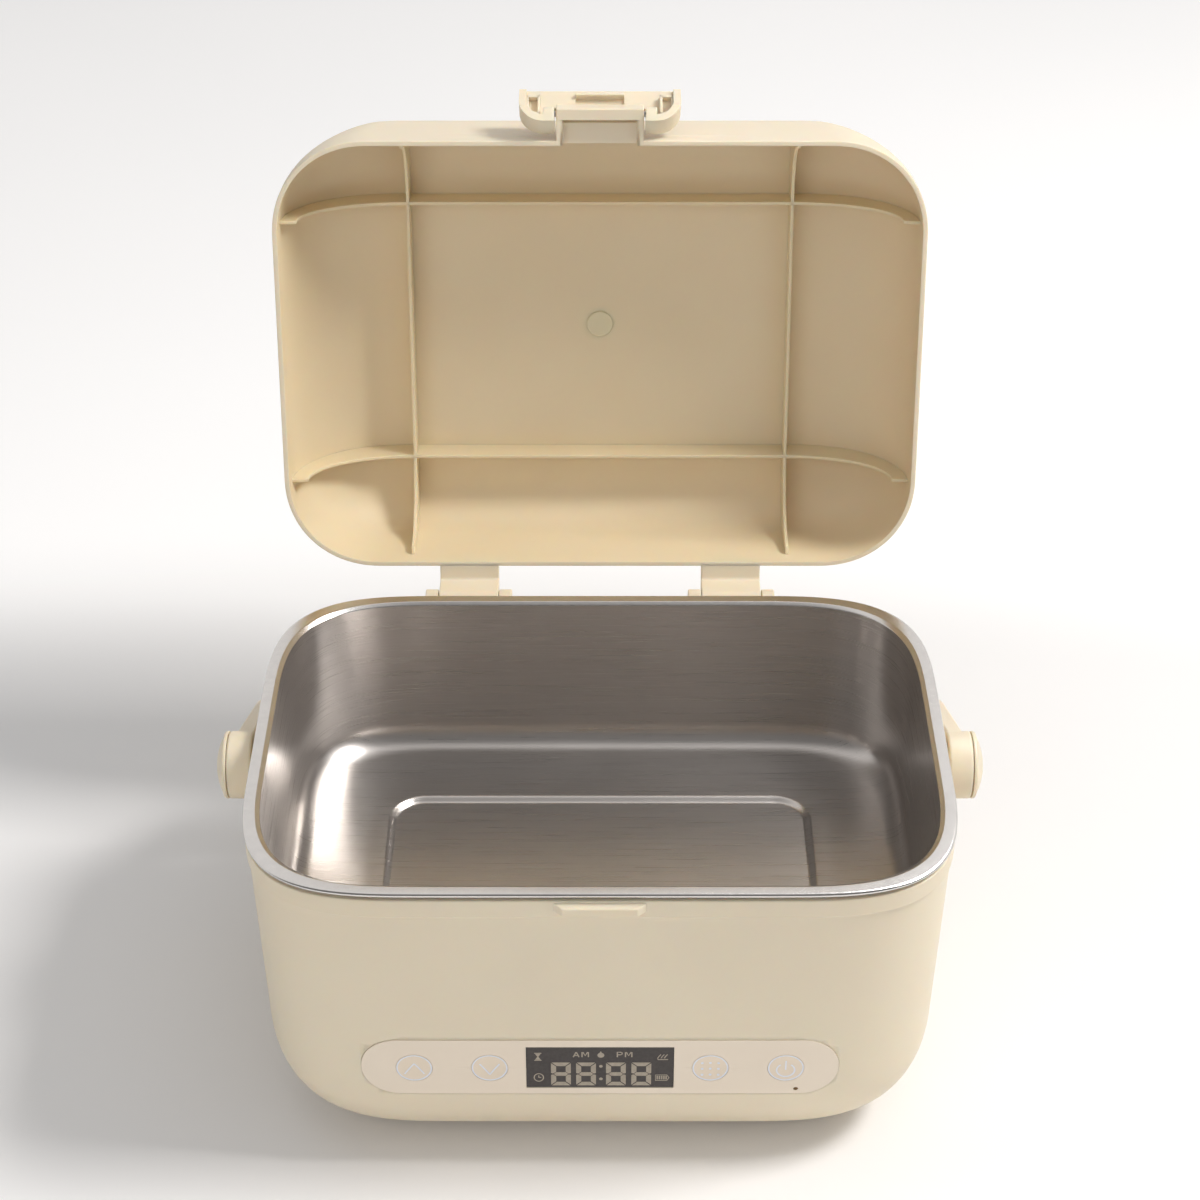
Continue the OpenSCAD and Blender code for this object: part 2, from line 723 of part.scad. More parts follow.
// Block on the main board round a place, with its own width, depth and height
module board_block(x, y, size) {
    h = min(size.z, part_room);
    translate([x - size.x / 2, y - size.y / 2, board_top]) cube([size.x, size.y, h]);
}
coil_size = [22, 18, 6.5];
driver_size = [18, 14, 5];
chip_size = [30, 16, 3];
module power_components() {
    color(dark_part) {
        for (i = [0 : 3]) translate([can_x + i * can_step, part_y, board_top])
            cylinder(h = min(can_h, part_room), d = can_d);
        board_block(-49, part_y, coil_size);
        board_block(-21, part_y, driver_size);
        board_block(7, -part_y - 2, chip_size);
    }
}
sounder_d = 12;
sounder_h = 7.5;
sounder_x = 52;
module sounder() {
    color(dark_part) translate([sounder_x, -part_y, board_top]) difference() {
        cylinder(h = min(sounder_h, part_room), d = sounder_d);
        translate([0, 0, 2]) cylinder(h = rim_z, d = 2);
    }
}
// Two leads from the element's posts down to the main board
lead_d = 2.4;
module heater_leads() {
    top = element_z - post_h;
    color([0.75, 0.20, 0.15]) for (s = [-1, 1])
        translate([s * post_in, -element_dp / 2, board_top]) cylinder(h = top - board_top, d = lead_d);
}

// ---- Control panel ----
// The panel follows the shell's own rings, set out by a distance
face_steps = 2;
face_top = panel_z + panel_h / 2 + 6;
function face_ring(out, i) = let (t = 90 * i / round_steps)
    rim_ring(round_in + round_h * (1 - cos(t)) - out, round_z - round_v * sin(t));
function face_rings(out) = concat(
    [rim_ring(wall_inset(face_top) - out, face_top)],
    [for (i = [0 : face_steps]) face_ring(out, i)]
);
module panel_band(out, inner) {
    skin(concat(reversed(face_rings(-inner)), face_rings(out)), closed = true);
}
// Inset of the shell's outer face at a height near the panel
function face_inset(z) = z >= round_z ? wall_inset(z)
    : round_in + round_h * (1 - sqrt(1 - pow((round_z - z) / round_v, 2)));
panel_face = half_d - face_inset(panel_z) + panel_proud;
panel_tilt = atan((face_inset(panel_z - window_h / 2) - face_inset(panel_z + window_h / 2)) / window_h);
// Places what is drawn with its front at y = 0 and its middle at z = 0 into the sloping face
module on_panel() {
    translate([0, -panel_face, panel_z]) rotate([panel_tilt, 0, 0]) children();
}

button_places = [-button_out, -button_in, button_in, button_out];
button_fit = 0.2;
sound_hole = [65.5, -10.2];
window_gap = 0.15;
post_x = button_in + 12.5;
board_back = 9;              // depth of the display board behind the panel's face

module control_panel() {
    color(panel_cream) difference() {
        union() {
            intersection() {
                panel_band(panel_proud, panel_seat);
                panel_prism(0, half_d);
            }
            on_panel() for (s = [-1, 1]) bar_y(panel_seat - lap, board_back, s * post_x, 0, 5);
        }
        on_panel() {
            for (x = button_places) bar_y(-half_d, board_back, x, 0, button_d + 2 * button_fit);
            block([-window_w / 2 - window_gap, -half_d, -window_h / 2 - window_gap],
                  [window_w / 2 + window_gap, board_back, window_h / 2 + window_gap]);
            bar_y(-half_d, board_back - 3, sound_hole.x, sound_hole.y, 2);
        }
    }
}
window_sunk = 0.1;
window_t = 1.6;
module display_window() {
    color(smoke) on_panel() block([-window_w / 2, window_sunk, -window_h / 2],
                                  [window_w / 2, window_sunk + window_t, window_h / 2]);
}
module display_module() {
    color(dark_part) on_panel() block([-window_w / 2 + 0.5, window_sunk + window_t, -window_h / 2 + 0.5],
                                      [window_w / 2 - 0.5, board_back, window_h / 2 - 0.5]);
}
module display_board() {
    color(board_green) on_panel()
        block([-board_half, board_back, -board_rise], [board_half, board_back + board_t, board_rise]);
}
board_half = button_out + 8;
board_rise = window_h / 2;
switch_h = 3.4;
plunger_h = 0.2;
module panel_switches() {
    on_panel() for (x = button_places) {
        color(dark_part) block([x - 3, board_back - switch_h, -3], [x + 3, board_back, 3]);
        color(steel) bar_y(board_back - switch_h - plunger_h, board_back - switch_h, x, 0, 3.2);
    }
}
cap_t = 2;
dish_depth = 0.45;
button_edge = 0.5;
stem_gap = 0.05;
// Dished cap, drawn with its face towards +Z, on a stem that reaches the switch
module button(x) {
    rim = button_d / 2 - button_edge;
    stem = board_back - switch_h - plunger_h - travel - stem_gap;
    color(panel_cream) on_panel() translate([x, 0, 0]) {
        rotate([90, 0, 0]) rotate_extrude() polygon(concat(
            [[0, -cap_t], [button_d / 2, -cap_t], [button_d / 2, -button_edge]],
            [for (i = [6 : -1 : 0]) let (r = rim * i / 6) [r, dish_depth * (pow(r / rim, 2) - 1)]]
        ));
        bar_y(cap_t - lap, stem, 0, 0, 4);
    }
}
module button_up() { button(button_places[0]); }
module button_down() { button(button_places[1]); }
module button_menu() { button(button_places[2]); }
module button_power() { button(button_places[3]); }

// ---- Charging socket ----
socket_len = 13;
socket_half = 5;
module charging_socket() {
    face = socket_wall + 0.9;
    color(dark_part) {
        difference() {
            union() {
                bar_y(face - 11, face, socket_x, socket_z, socket_nose_d);
                bar_y(socket_wall + 0.15, face, socket_x, socket_z, socket_nose_d + 3);
            }
            bar_y(face - 9, face + 1, socket_x, socket_z, 5.6);
        }
        bar_y(face - 9.5, face - 1, socket_x, socket_z, 2);
        block([socket_x - socket_half, face - socket_len - 7, socket_z - socket_half],
              [socket_x + socket_half, face - 10, socket_z + socket_half]);
    }
}
nut_gap = 2.2;               // room for the wall's slope between the nut and the wall
module socket_nut() {
    back = socket_wall - shell_t - nut_gap;
    color(steel) difference() {
        bar_y(back - 1, back + 1.2, socket_x, socket_z, socket_nose_d + 5);
        bar_y(back - 3, back + 3, socket_x, socket_z, socket_nose_d + 2 * fit);
    }
}

// ---- Hinge pins and pivot studs ----
module hinge_pins() {
    half = arm_w / 2 + ear_gap + ear_t;
    color(steel) for (s = [-1, 1]) bar_x(s * hinge_x - half, s * hinge_x + half, hinge_y, hinge_z, pin_d);
}
hub_in = boss_x + 0.4;
hub_deep = 3.3;                // depth of the pocket for the stud's head
head_d = 10;
head_t = 1.8;
module pivot_studs() {
    seat_x = hub_x - hub_deep + 0.1;
    color(steel) for (s = [-1, 1]) mirror([s < 0 ? 1 : 0, 0, 0]) {
        bar_x(stud_in + 0.1, seat_x, pivot_y, pivot_z, stud_d);
        bar_x(seat_x, seat_x + head_t, pivot_y, pivot_z, head_d);
    }
}

// ---- Lid ----
mouth_z = rim_z + lid_gap;
lid_a = half_w - lid_in_x;
lid_b = half_d - lid_in_y;
function lid_draw(z, h, r) = z <= h - r ? 0 : r - sqrt(max(0, r * r - pow(z - h + r, 2)));
function lid_in_at(z, t) = [lid_draw(z, lid_h - t, lid_side_r - t), lid_draw(z, lid_h - t, lid_front_r - t)];
function lid_r_at(z, t) = let (in = lid_in_at(z, t)) lid_corner - t - 0.18 * (in.x + in.y);
function lid_ring(z, t) = let (in = lid_in_at(z, t))
    ring(lid_a - t - in.x, lid_b - t - in.y, lid_r_at(z, t), lid_power, mouth_z + z);
lid_levels = [0, 0.12, 0.28, 0.43, 0.58, 0.68, 0.77, 0.85, 0.91, 0.96, 0.99, 1];
module lid_dome() {
    skin(concat(
        [for (k = reversed(lid_levels)) lid_ring(k * lid_h, 0)],
        [for (k = lid_levels) lid_ring(k * (lid_h - lid_t), lid_t)]
    ));
}
// How far the lid's inside reaches from the middle, along X at a given y, or along Y at a given x
function reach(side, other, r, at) =
    side - r + r * pow(max(0, 1 - pow(max(0, at - other + r) / r, lid_power)), 1 / lid_power);
function inside_x(y, z) = let (in = lid_in_at(z, lid_t))
    reach(lid_a - lid_t - in.x, lid_b - lid_t - in.y, lid_r_at(z, lid_t), y);
function inside_y(x, z) = let (in = lid_in_at(z, lid_t))
    reach(lid_b - lid_t - in.y, lid_a - lid_t - in.x, lid_r_at(z, lid_t), x);
rib_sink = 0.8;               // how far the ribs sink into the lid's wall
rib_steps = 6;
rib_levels = [0.5, 0.68, 0.8, 0.89, 0.95, 0.985, 1];
// Half outline of a rib: the free edge curves down from where the ribs cross towards the wall
function rib_edge(cross, wall) = [
    for (i = [0 : rib_steps]) let (t = 90 * i / rib_steps)
        [cross + (wall - 6 - cross) * sin(t), rib_low + (rib_z - rib_low) * cos(t)]
];
module rib_outline(cross, edge_reach, wall) {
    half = concat([[0, rib_z]], rib_edge(cross, edge_reach[0]), [[edge_reach[0] + rib_sink, rib_low]], wall);
    polygon(concat(half, [for (p = reversed(half)) [-p.x, p.y]]));
}
function rib_wall_x(y) = [for (k = rib_levels) let (z = k * (lid_h - lid_t))
    [inside_x(y, z) + rib_sink, min(z + (k == 1 ? rib_sink : 0), lid_h)]];
function rib_wall_y(x) = [for (k = rib_levels) let (z = k * (lid_h - lid_t))
    [inside_y(x, z) + rib_sink, min(z + (k == 1 ? rib_sink : 0), lid_h)]];
module lid_ribs() {
    for (s = [-1, 1]) {
        translate([0, s * rib_y + rib_t / 2, mouth_z]) rotate([90, 0, 0]) linear_extrude(rib_t)
            rib_outline(rib_x, [inside_x(rib_y, rib_low)], rib_wall_x(rib_y));
        translate([s * rib_x - rib_t / 2, 0, mouth_z]) rotate([90, 0, 90]) linear_extrude(rib_t)
            rib_outline(rib_y, [inside_y(rib_x, rib_low)], rib_wall_y(rib_x));
    }
}

// Hinge arm, seen from the side with the lid closed; it starts on the lid's rear wall
arm_step = 0.4;                              // how far inside the steel rim's edge the arm turns down
module arm_outline() {
    translate([hinge_y, hinge_z]) circle(barrel_r);
    polygon([
        [lid_b, mouth_z], [half_d - arm_step, mouth_z], [half_d + 1, mouth_z - 1.4],
        [hinge_y - barrel_r, hinge_z], [hinge_y + barrel_r, hinge_z],
        [hinge_y + 0.62 * barrel_r, hinge_z + barrel_r], [hinge_y - 0.5, mouth_z + 1.2],
        [half_d + 1, mouth_z + 3], [lid_b, mouth_z + 3.7]
    ]);
}

// Bracket on the lid's front that carries the latch
bracket_y = -(lid_b + bracket_out);
bracket_bar = 4;
latch_y = bracket_y + 2.3;                    // latch pin
latch_z = mouth_z + 1.8;
bracket_high = 8.2;
bracket_wall = 2.3;
bracket_root = lid_t / 2 - lid_b;             // in the middle of the lid's front wall
module bracket_outline() {
    top = mouth_z + bracket_high;
    polygon([
        [bracket_root, mouth_z], [bracket_y, mouth_z], [bracket_y, top - 3], [bracket_y + 1.5, top - 1],
        [bracket_y + 8, top + 1], [bracket_root, top + 1.5]
    ]);
}
module bracket_hollow() {
    inner = bracket_y + bracket_bar;
    top = mouth_z + bracket_high;
    polygon([
        [bracket_root + 3, mouth_z - 1], [inner, mouth_z - 1], [inner, top - 3.5], [inner + 1.5, top - 2.4],
        [bracket_root + 3, top - 1.4]
    ]);
}

// The lid's pieces are drawn closed and turned open about the hinge pin
module opened() {
    translate([0, hinge_y, hinge_z]) rotate([-open_deg, 0, 0]) translate([0, -hinge_y, -hinge_z]) children();
}
lid_boss_h = 1.3;
lid_boss_d = 9.8;
module lid_shell() {
    color(cream) opened() difference() {
        union() {
            lid_dome();
            lid_ribs();
            along_x(-bracket_w / 2, bracket_w / 2) bracket_outline();
            translate([0, 0, mouth_z + lid_h - lid_t - lid_boss_h])
                cylinder(h = lid_boss_h + lap / 2, d = lid_boss_d);
        }
        along_x(bracket_wall - bracket_w / 2, bracket_w / 2 - bracket_wall) bracket_hollow();
        bar_x(-bracket_w, bracket_w, latch_y, latch_z, latch_pin_d + 2 * fit);
    }
}
module hinge_arms() {
    color(cream) opened() difference() {
        for (s = [-1, 1]) along_x(s * hinge_x - arm_w / 2, s * hinge_x + arm_w / 2) arm_outline();
        for (s = [-1, 1])
            bar_x(s * hinge_x - arm_w, s * hinge_x + arm_w, hinge_y, hinge_z, pin_d + 2 * run);
    }
}
lug_gap = 1.3;
lug_t = 3;
lug_x = bracket_w / 2 + lug_gap;
module latch_pin() {
    color(steel) opened() bar_x(-lug_x - lug_t, lug_x + lug_t, latch_y, latch_z, latch_pin_d);
}

// ---- Latch ----
// Drawn upright about its pin, with Y towards the box, then leaned in
latch_up = 4.4;                              // how far the latch reaches above its pin
latch_face = -6;                             // front face
latch_low = latch_up - latch_h;
latch_inside = latch_face + latch_t;
notch_half = bracket_w / 2 + 1;
notch_low = -4.4;
lug_r = 2.3;
module latch_front(shrink, low) {
    half = latch_w / 2 - shrink;
    r = latch_r - shrink;
    top = latch_up - shrink;
    translate([r - half, low]) square([2 * (half - r), top - low]);
    translate([-half, low]) square([2 * half, top - r - low]);
    for (x = [-1, 1]) translate([x * (half - r), top - r]) circle(r);
}
module drawn_y(y0, y1) {
    translate([0, y1, 0]) rotate([90, 0, 0]) linear_extrude(y1 - y0) children();
}
// Small box that stiffens the plate at each side
cell_w = 5;
cell_wall = 1;
cell_high = -2.2;
cell_low = -8;
cell_deep = 2.4;
module latch_cells() {
    for (s = [-1, 1]) {
        x = s * (latch_w / 2 - latch_rim - cell_w / 2 + lap);
        difference() {
            block([x - cell_w / 2, latch_inside - lap, cell_low],
                  [x + cell_w / 2, latch_inside + cell_deep, cell_high]);
            block([x - cell_w / 2 + cell_wall, latch_inside - 0.01, cell_low + cell_wall],
                  [x + cell_w / 2 - cell_wall, latch_inside + cell_deep + 1, cell_high - cell_wall]);
        }
    }
}
module latch_lugs() {
    for (s = [-1, 1]) {
        x0 = min(s * lug_x, s * (lug_x + lug_t));
        along_x(x0, x0 + lug_t) {
            circle(lug_r);
            polygon([
                [latch_inside - lap, -lug_r], [0, -lug_r], [lug_r, 0],
                [lug_r, latch_up - lap], [latch_inside - lap, latch_up - lap]
            ]);
        }
    }
}
module latch_plate() {
    difference() {
        intersection() {
            drawn_y(latch_face, latch_face + latch_deep) latch_front(0, latch_low);
            along_x(-latch_w, latch_w) polygon([
                [latch_face, latch_low], [latch_face, latch_up], [latch_face + latch_deep, latch_up],
                [latch_face + latch_deep, -1.6], [latch_face + latch_shallow, latch_low]
            ]);
        }
        drawn_y(latch_inside, latch_face + latch_deep + 1) latch_front(latch_rim, latch_low - 1);
        block([-notch_half, latch_face - 1, notch_low],
              [notch_half, latch_face + latch_deep + 1, latch_up + 1]);
    }
}
// Hook that catches under the body, drawn where it lies with the latch closed
hook_w = 17;
hook_gap = 0.3;
hook_t = 0.9;
hook_grip = 0.4;                             // how far the hook lies under the catch
hook_root = 1.6;                             // how far the hook starts inside the plate
module hook() {
    high = catch_low - hook_gap - latch_z;
    tip = -catch_y + hook_grip - latch_y;
    root = latch_inside * cos(latch_lean) - high * sin(latch_lean) - hook_root;
    along_x(-hook_w / 2, hook_w / 2) polygon([
        [root, high], [tip, high], [tip - 0.5, high - hook_t], [root, high - hook_t]
    ]);
}
pocket_deep = 1.2;
pocket_h = 3.8;
module latch() {
    color(cream) opened() translate([0, latch_y, latch_z]) rotate([-latch_deg, 0, 0]) {
        hook();
        rotate([latch_lean, 0, 0]) difference() {
            union() {
                latch_plate();
                latch_cells();
                latch_lugs();
            }
            // Pocket above the hook
            block([-hook_w / 2, latch_inside - pocket_deep, latch_low + latch_rim],
                  [hook_w / 2, latch_inside + 1, latch_low + latch_rim + pocket_h]);
            bar_x(-latch_w, latch_w, 0, 0, latch_pin_d + 2 * run);
        }
    }
}

// ---- Handle ----
// Inner reach from the pivot to the cross bar, which clears the hinge's barrel
bail_reach = norm([hinge_y - pivot_y, hinge_z - pivot_z]) + barrel_r + bail_gap;
arm_full = 34;                               // distance from the pivot at which an arm has its full thickness
bar_out = bail_reach + bar_t;
arm_in_x = bail_x - bail_t;
inner_r = bail_r - bail_t;
module bail_outline() {
    difference() {
        union() {
            translate([0, bar_out - bail_r - 10]) square([2 * bail_x, 20], center = true);
            translate([-(bail_x - bail_r), bar_out - 2 * bail_r]) square([2 * (bail_x - bail_r), 2 * bail_r]);
            for (x = [-1, 1]) translate([x * (bail_x - bail_r), bar_out - bail_r]) circle(bail_r);
            polygon([
                [-hub_x, 0], [-hub_x, hub_d / 2 + 2], [-bail_x, arm_full], [-bail_x, bar_out - bail_r],
                [bail_x, bar_out - bail_r], [bail_x, arm_full], [hub_x, hub_d / 2 + 2], [hub_x, 0]
            ]);
        }
        translate([-arm_in_x, -1]) square([2 * arm_in_x, bail_reach - inner_r + 1]);
        translate([-(arm_in_x - inner_r), -1]) square([2 * (arm_in_x - inner_r), bail_reach + 1]);
        for (x = [-1, 1]) translate([x * (arm_in_x - inner_r), bail_reach - inner_r]) circle(inner_r);
    }
}
module folded() {
    translate([0, pivot_y, pivot_z]) rotate([-fold_deg, 0, 0]) children();
}
module bail_handle() {
    color(cream) folded() difference() {
        union() {
            translate([0, 0, -bail_w / 2]) linear_extrude(bail_w) bail_outline();
            for (s = [-1, 1])
                bar_x(min(s * hub_in, s * hub_x), max(s * hub_in, s * hub_x), 0, 0, hub_d);
        }
        for (s = [-1, 1]) {
            bar_x(min(s * (hub_in - 1), s * hub_x), max(s * (hub_in - 1), s * hub_x), 0, 0, stud_d + 2 * run);
            bar_x(min(s * (hub_x - hub_deep), s * (hub_x + 2)), max(s * (hub_x - hub_deep), s * (hub_x + 2)),
                  0, 0, head_d + 1);
        }
    }
}
cap_gap = 0.1;
spigot_h = 1;
// Domed cap over the stud's head, drawn pointing along +Z
module pivot_cap() {
    dome_r = (pow(hub_d / 2 - 1.2, 2) + pow(dome_h - 1.6, 2)) / (2 * (dome_h - 1.6));
    rotate_extrude() polygon(concat(
        [[0, -spigot_h], [head_d / 2 + 0.4, -spigot_h], [head_d / 2 + 0.4, cap_gap], [hub_d / 2, cap_gap],
         [hub_d / 2, 0.9], [hub_d / 2 - 0.35, 1.45], [hub_d / 2 - 1.2, 1.6 + cap_gap]],
        [for (i = [1 : 5]) let (x = (hub_d / 2 - 1.2) * (1 - i / 5))
            [x, cap_gap + dome_h - dome_r + sqrt(dome_r * dome_r - x * x)]]
    ));
}
module pivot_cap_left() {
    color(cream) folded() translate([-hub_x, 0, 0]) rotate([0, -90, 0]) pivot_cap();
}
module pivot_cap_right() {
    color(cream) folded() translate([hub_x, 0, 0]) rotate([0, 90, 0]) pivot_cap();
}

outer_shell();
bottom_cover();
rubber_feet();
cover_screws();
inner_well();
heating_plate();
heating_element();
element_clamps();
heat_shield();
shield_standoffs();
insulation_pad();
temperature_sensor();
thermal_fuse();
battery_tray();
battery_cells();
cell_straps();
battery_board();
main_board();
power_components();
sounder();
heater_leads();
display_board();
display_module();
display_window();
control_panel();
panel_switches();
charging_socket();
socket_nut();
hinge_pins();
pivot_studs();
button_up();
button_down();
button_menu();
button_power();
lid_shell();
hinge_arms();
latch_pin();
latch();
bail_handle();
pivot_cap_left();
pivot_cap_right();
food_container();
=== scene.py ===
"""Dresses the electric lunch box: shells, steel container, latch, handle, panel and their finishes."""

import json
import logging
import math
from dataclasses import dataclass, field
from enum import Enum
from typing import Callable, Iterable, Sequence

import bmesh
import bpy
from mathutils import Matrix, Vector


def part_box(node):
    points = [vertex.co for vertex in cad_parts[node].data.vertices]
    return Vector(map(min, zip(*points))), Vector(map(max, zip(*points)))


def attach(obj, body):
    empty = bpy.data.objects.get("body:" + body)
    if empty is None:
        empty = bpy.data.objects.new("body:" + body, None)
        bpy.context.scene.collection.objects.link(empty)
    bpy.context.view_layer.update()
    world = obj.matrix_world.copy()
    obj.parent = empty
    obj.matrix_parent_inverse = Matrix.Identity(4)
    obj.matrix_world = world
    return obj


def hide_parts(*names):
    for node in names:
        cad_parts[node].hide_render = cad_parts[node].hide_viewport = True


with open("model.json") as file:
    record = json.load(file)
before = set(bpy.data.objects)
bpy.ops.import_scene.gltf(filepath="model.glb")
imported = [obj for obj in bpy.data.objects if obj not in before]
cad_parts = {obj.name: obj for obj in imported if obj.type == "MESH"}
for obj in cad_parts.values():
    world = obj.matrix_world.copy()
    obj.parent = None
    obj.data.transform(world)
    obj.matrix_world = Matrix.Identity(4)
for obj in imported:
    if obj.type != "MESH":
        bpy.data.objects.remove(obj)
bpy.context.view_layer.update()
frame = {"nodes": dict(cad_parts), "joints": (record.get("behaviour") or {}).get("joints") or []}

MM = 0.001
GLOW_SHARES = (1.0, 0.55, 0.25)
GLOW_REACH = 0.0035
PointYZ = tuple[float, float]
log = logging.getLogger("lunch_box")


# ---------------------------------------------------------------- colours and finishes


def srgb(red: int, green: int, blue: int) -> tuple[float, float, float, float]:
    """Turn a colour of 0 to 255 per channel into the linear colour a shader reads.

    Args:
        red: Red channel.
        green: Green channel.
        blue: Blue channel.

    Returns:
        The linear colour with full alpha.
    """
    def linear(value: int) -> float:
        """Return one channel in linear light."""
        share = value / 255
        return share / 12.92 if share <= 0.04045 else ((share + 0.055) / 1.055) ** 2.4
    return linear(red), linear(green), linear(blue), 1.0


class Grain(Enum):
    """Which way the fine lines of a brushed metal run."""

    AROUND = "around"
    ALONG_X = "along_x"
    NONE = "none"


class NodeKit:
    """Short calls for building one material's nodes."""

    def __init__(self, name: str) -> None:
        """Start an empty material.

        Args:
            name: The material's name.
        """
        self.material = bpy.data.materials.new(name)
        self.material.use_nodes = True
        self.tree = self.material.node_tree
        self.shader = self.tree.nodes["Principled BSDF"]
        self.coordinates = self.tree.nodes.new("ShaderNodeTexCoord").outputs["Object"]

    def link(self, source: bpy.types.NodeSocket, target: bpy.types.NodeSocket) -> None:
        """Join two sockets."""
        self.tree.links.new(source, target)

    def scaled(self, scale: Sequence[float], shift: Sequence[float] = (0, 0, 0)) -> bpy.types.NodeSocket:
        """Return the object coordinates stretched along each axis and then shifted.

        Args:
            scale: Factor along X, Y and Z.
            shift: What is added after that.
        """
        mapping = self.tree.nodes.new("ShaderNodeMapping")
        mapping.inputs["Scale"].default_value = scale
        mapping.inputs["Location"].default_value = shift
        self.link(self.coordinates, mapping.inputs["Vector"])
        return mapping.outputs["Vector"]

    def noise(self, scale: float, detail: float = 2.0, stretch: Sequence[float] = (1, 1, 1),
              rough: float = 0.5) -> bpy.types.NodeSocket:
        """Return a noise value on object coordinates.

        Args:
            scale: Waves per metre.
            detail: Octaves.
            stretch: Factor along X, Y and Z.
            rough: How strongly the finer octaves show.

        Returns:
            The noise's value socket.
        """
        node = self.tree.nodes.new("ShaderNodeTexNoise")
        node.inputs["Scale"].default_value = scale
        node.inputs["Detail"].default_value = detail
        node.inputs["Roughness"].default_value = rough
        self.link(self.scaled(stretch), node.inputs["Vector"])
        return node.outputs["Fac"]

    def ramp(self, value: bpy.types.NodeSocket, low: Sequence[float], high: Sequence[float],
             start: float = 0.35, end: float = 0.65) -> bpy.types.NodeSocket:
        """Return a colour that runs from low to high as value goes from start to end."""
        node = self.tree.nodes.new("ShaderNodeValToRGB")
        node.color_ramp.elements[0].position = start
        node.color_ramp.elements[0].color = tuple(low)
        node.color_ramp.elements[1].position = end
        node.color_ramp.elements[1].color = tuple(high)
        self.link(value, node.inputs["Fac"])
        return node.outputs["Color"]

    def span(self, value: bpy.types.NodeSocket, low: float, high: float) -> bpy.types.NodeSocket:
        """Return value mapped from 0..1 to low..high."""
        node = self.tree.nodes.new("ShaderNodeMapRange")
        node.inputs["To Min"].default_value = low
        node.inputs["To Max"].default_value = high
        self.link(value, node.inputs["Value"])
        return node.outputs["Result"]

    def math(self, operation: str, first: bpy.types.NodeSocket,
             second: bpy.types.NodeSocket | float) -> bpy.types.NodeSocket:
        """Return the result of a math node on two values."""
        node = self.tree.nodes.new("ShaderNodeMath")
        node.operation = operation
        self.link(first, node.inputs[0])
        if isinstance(second, (int, float)):
            node.inputs[1].default_value = second
        else:
            self.link(second, node.inputs[1])
        return node.outputs[0]

    def mix(self, share: bpy.types.NodeSocket, first: bpy.types.NodeSocket,
            second: bpy.types.NodeSocket) -> bpy.types.NodeSocket:
        """Return a value mixed from two values by share."""
        node = self.tree.nodes.new("ShaderNodeMix")
        self.link(share, node.inputs["Factor"])
        self.link(first, node.inputs["A"])
        self.link(second, node.inputs["B"])
        return node.outputs["Result"]

    def facing_up(self) -> bpy.types.NodeSocket:
        """Return how much the surface lies flat, from 0 on a wall to 1 on a floor."""
        geometry = self.tree.nodes.new("ShaderNodeNewGeometry")
        split = self.tree.nodes.new("ShaderNodeSeparateXYZ")
        self.link(geometry.outputs["Normal"], split.inputs["Vector"])
        return self.math("ABSOLUTE", split.outputs["Z"], 0.0)

    def grain_way(self) -> bpy.types.NodeSocket:
        """Return the way the grain runs: level on a wall, along X on a floor."""
        geometry = self.tree.nodes.new("ShaderNodeNewGeometry")
        level = self.tree.nodes.new("ShaderNodeVectorMath")
        level.operation = "CROSS_PRODUCT"
        level.inputs[0].default_value = (0, 0, 1)
        self.link(geometry.outputs["Normal"], level.inputs[1])
        along = self.tree.nodes.new("ShaderNodeVectorMath")
        along.inputs[1].default_value = (0.05, 0, 0)
        self.link(level.outputs["Vector"], along.inputs[0])
        return along.outputs["Vector"]

    def bump(self, height: bpy.types.NodeSocket, strength: float, depth: float) -> None:
        """Raise the surface by a height value.

        Args:
            height: Value from 0 to 1.
            strength: How much of the effect to use.
            depth: Height in metres.
        """
        node = self.tree.nodes.new("ShaderNodeBump")
        node.inputs["Strength"].default_value = strength
        node.inputs["Distance"].default_value = depth
        self.link(height, node.inputs["Height"])
        self.link(node.outputs["Normal"], self.shader.inputs["Normal"])


@dataclass(frozen=True)
class Plastic:
    """Moulded plastic with a fine satin skin."""

    name: str
    colour: tuple[float, float, float, float]
    deep: tuple[float, float, float, float]
    rough_low: float = 0.40
    rough_high: float = 0.52
    skin: float = 2600.0
    skin_depth: float = 0.00002
    glow: float = 0.0

    def build(self) -> bpy.types.Material:
        """Return the finished material."""
        kit = NodeKit(self.name)
        cloud = kit.noise(16.0, 3.0)
        kit.link(kit.ramp(cloud, self.deep, self.colour), kit.shader.inputs["Base Color"])
        skin = kit.noise(self.skin, 2.0)
        flow = kit.noise(90.0, 2.0, (1.0, 1.0, 0.35))
        kit.link(kit.span(flow, self.rough_low, self.rough_high), kit.shader.inputs["Roughness"])
        kit.bump(skin, 0.25, self.skin_depth)
        kit.shader.inputs["Specular IOR Level"].default_value = 0.42
        if self.glow:
            kit.shader.inputs["Subsurface Weight"].default_value = self.glow
            kit.shader.inputs["Subsurface Radius"].default_value = GLOW_SHARES
            kit.shader.inputs["Subsurface Scale"].default_value = GLOW_REACH
        return kit.material


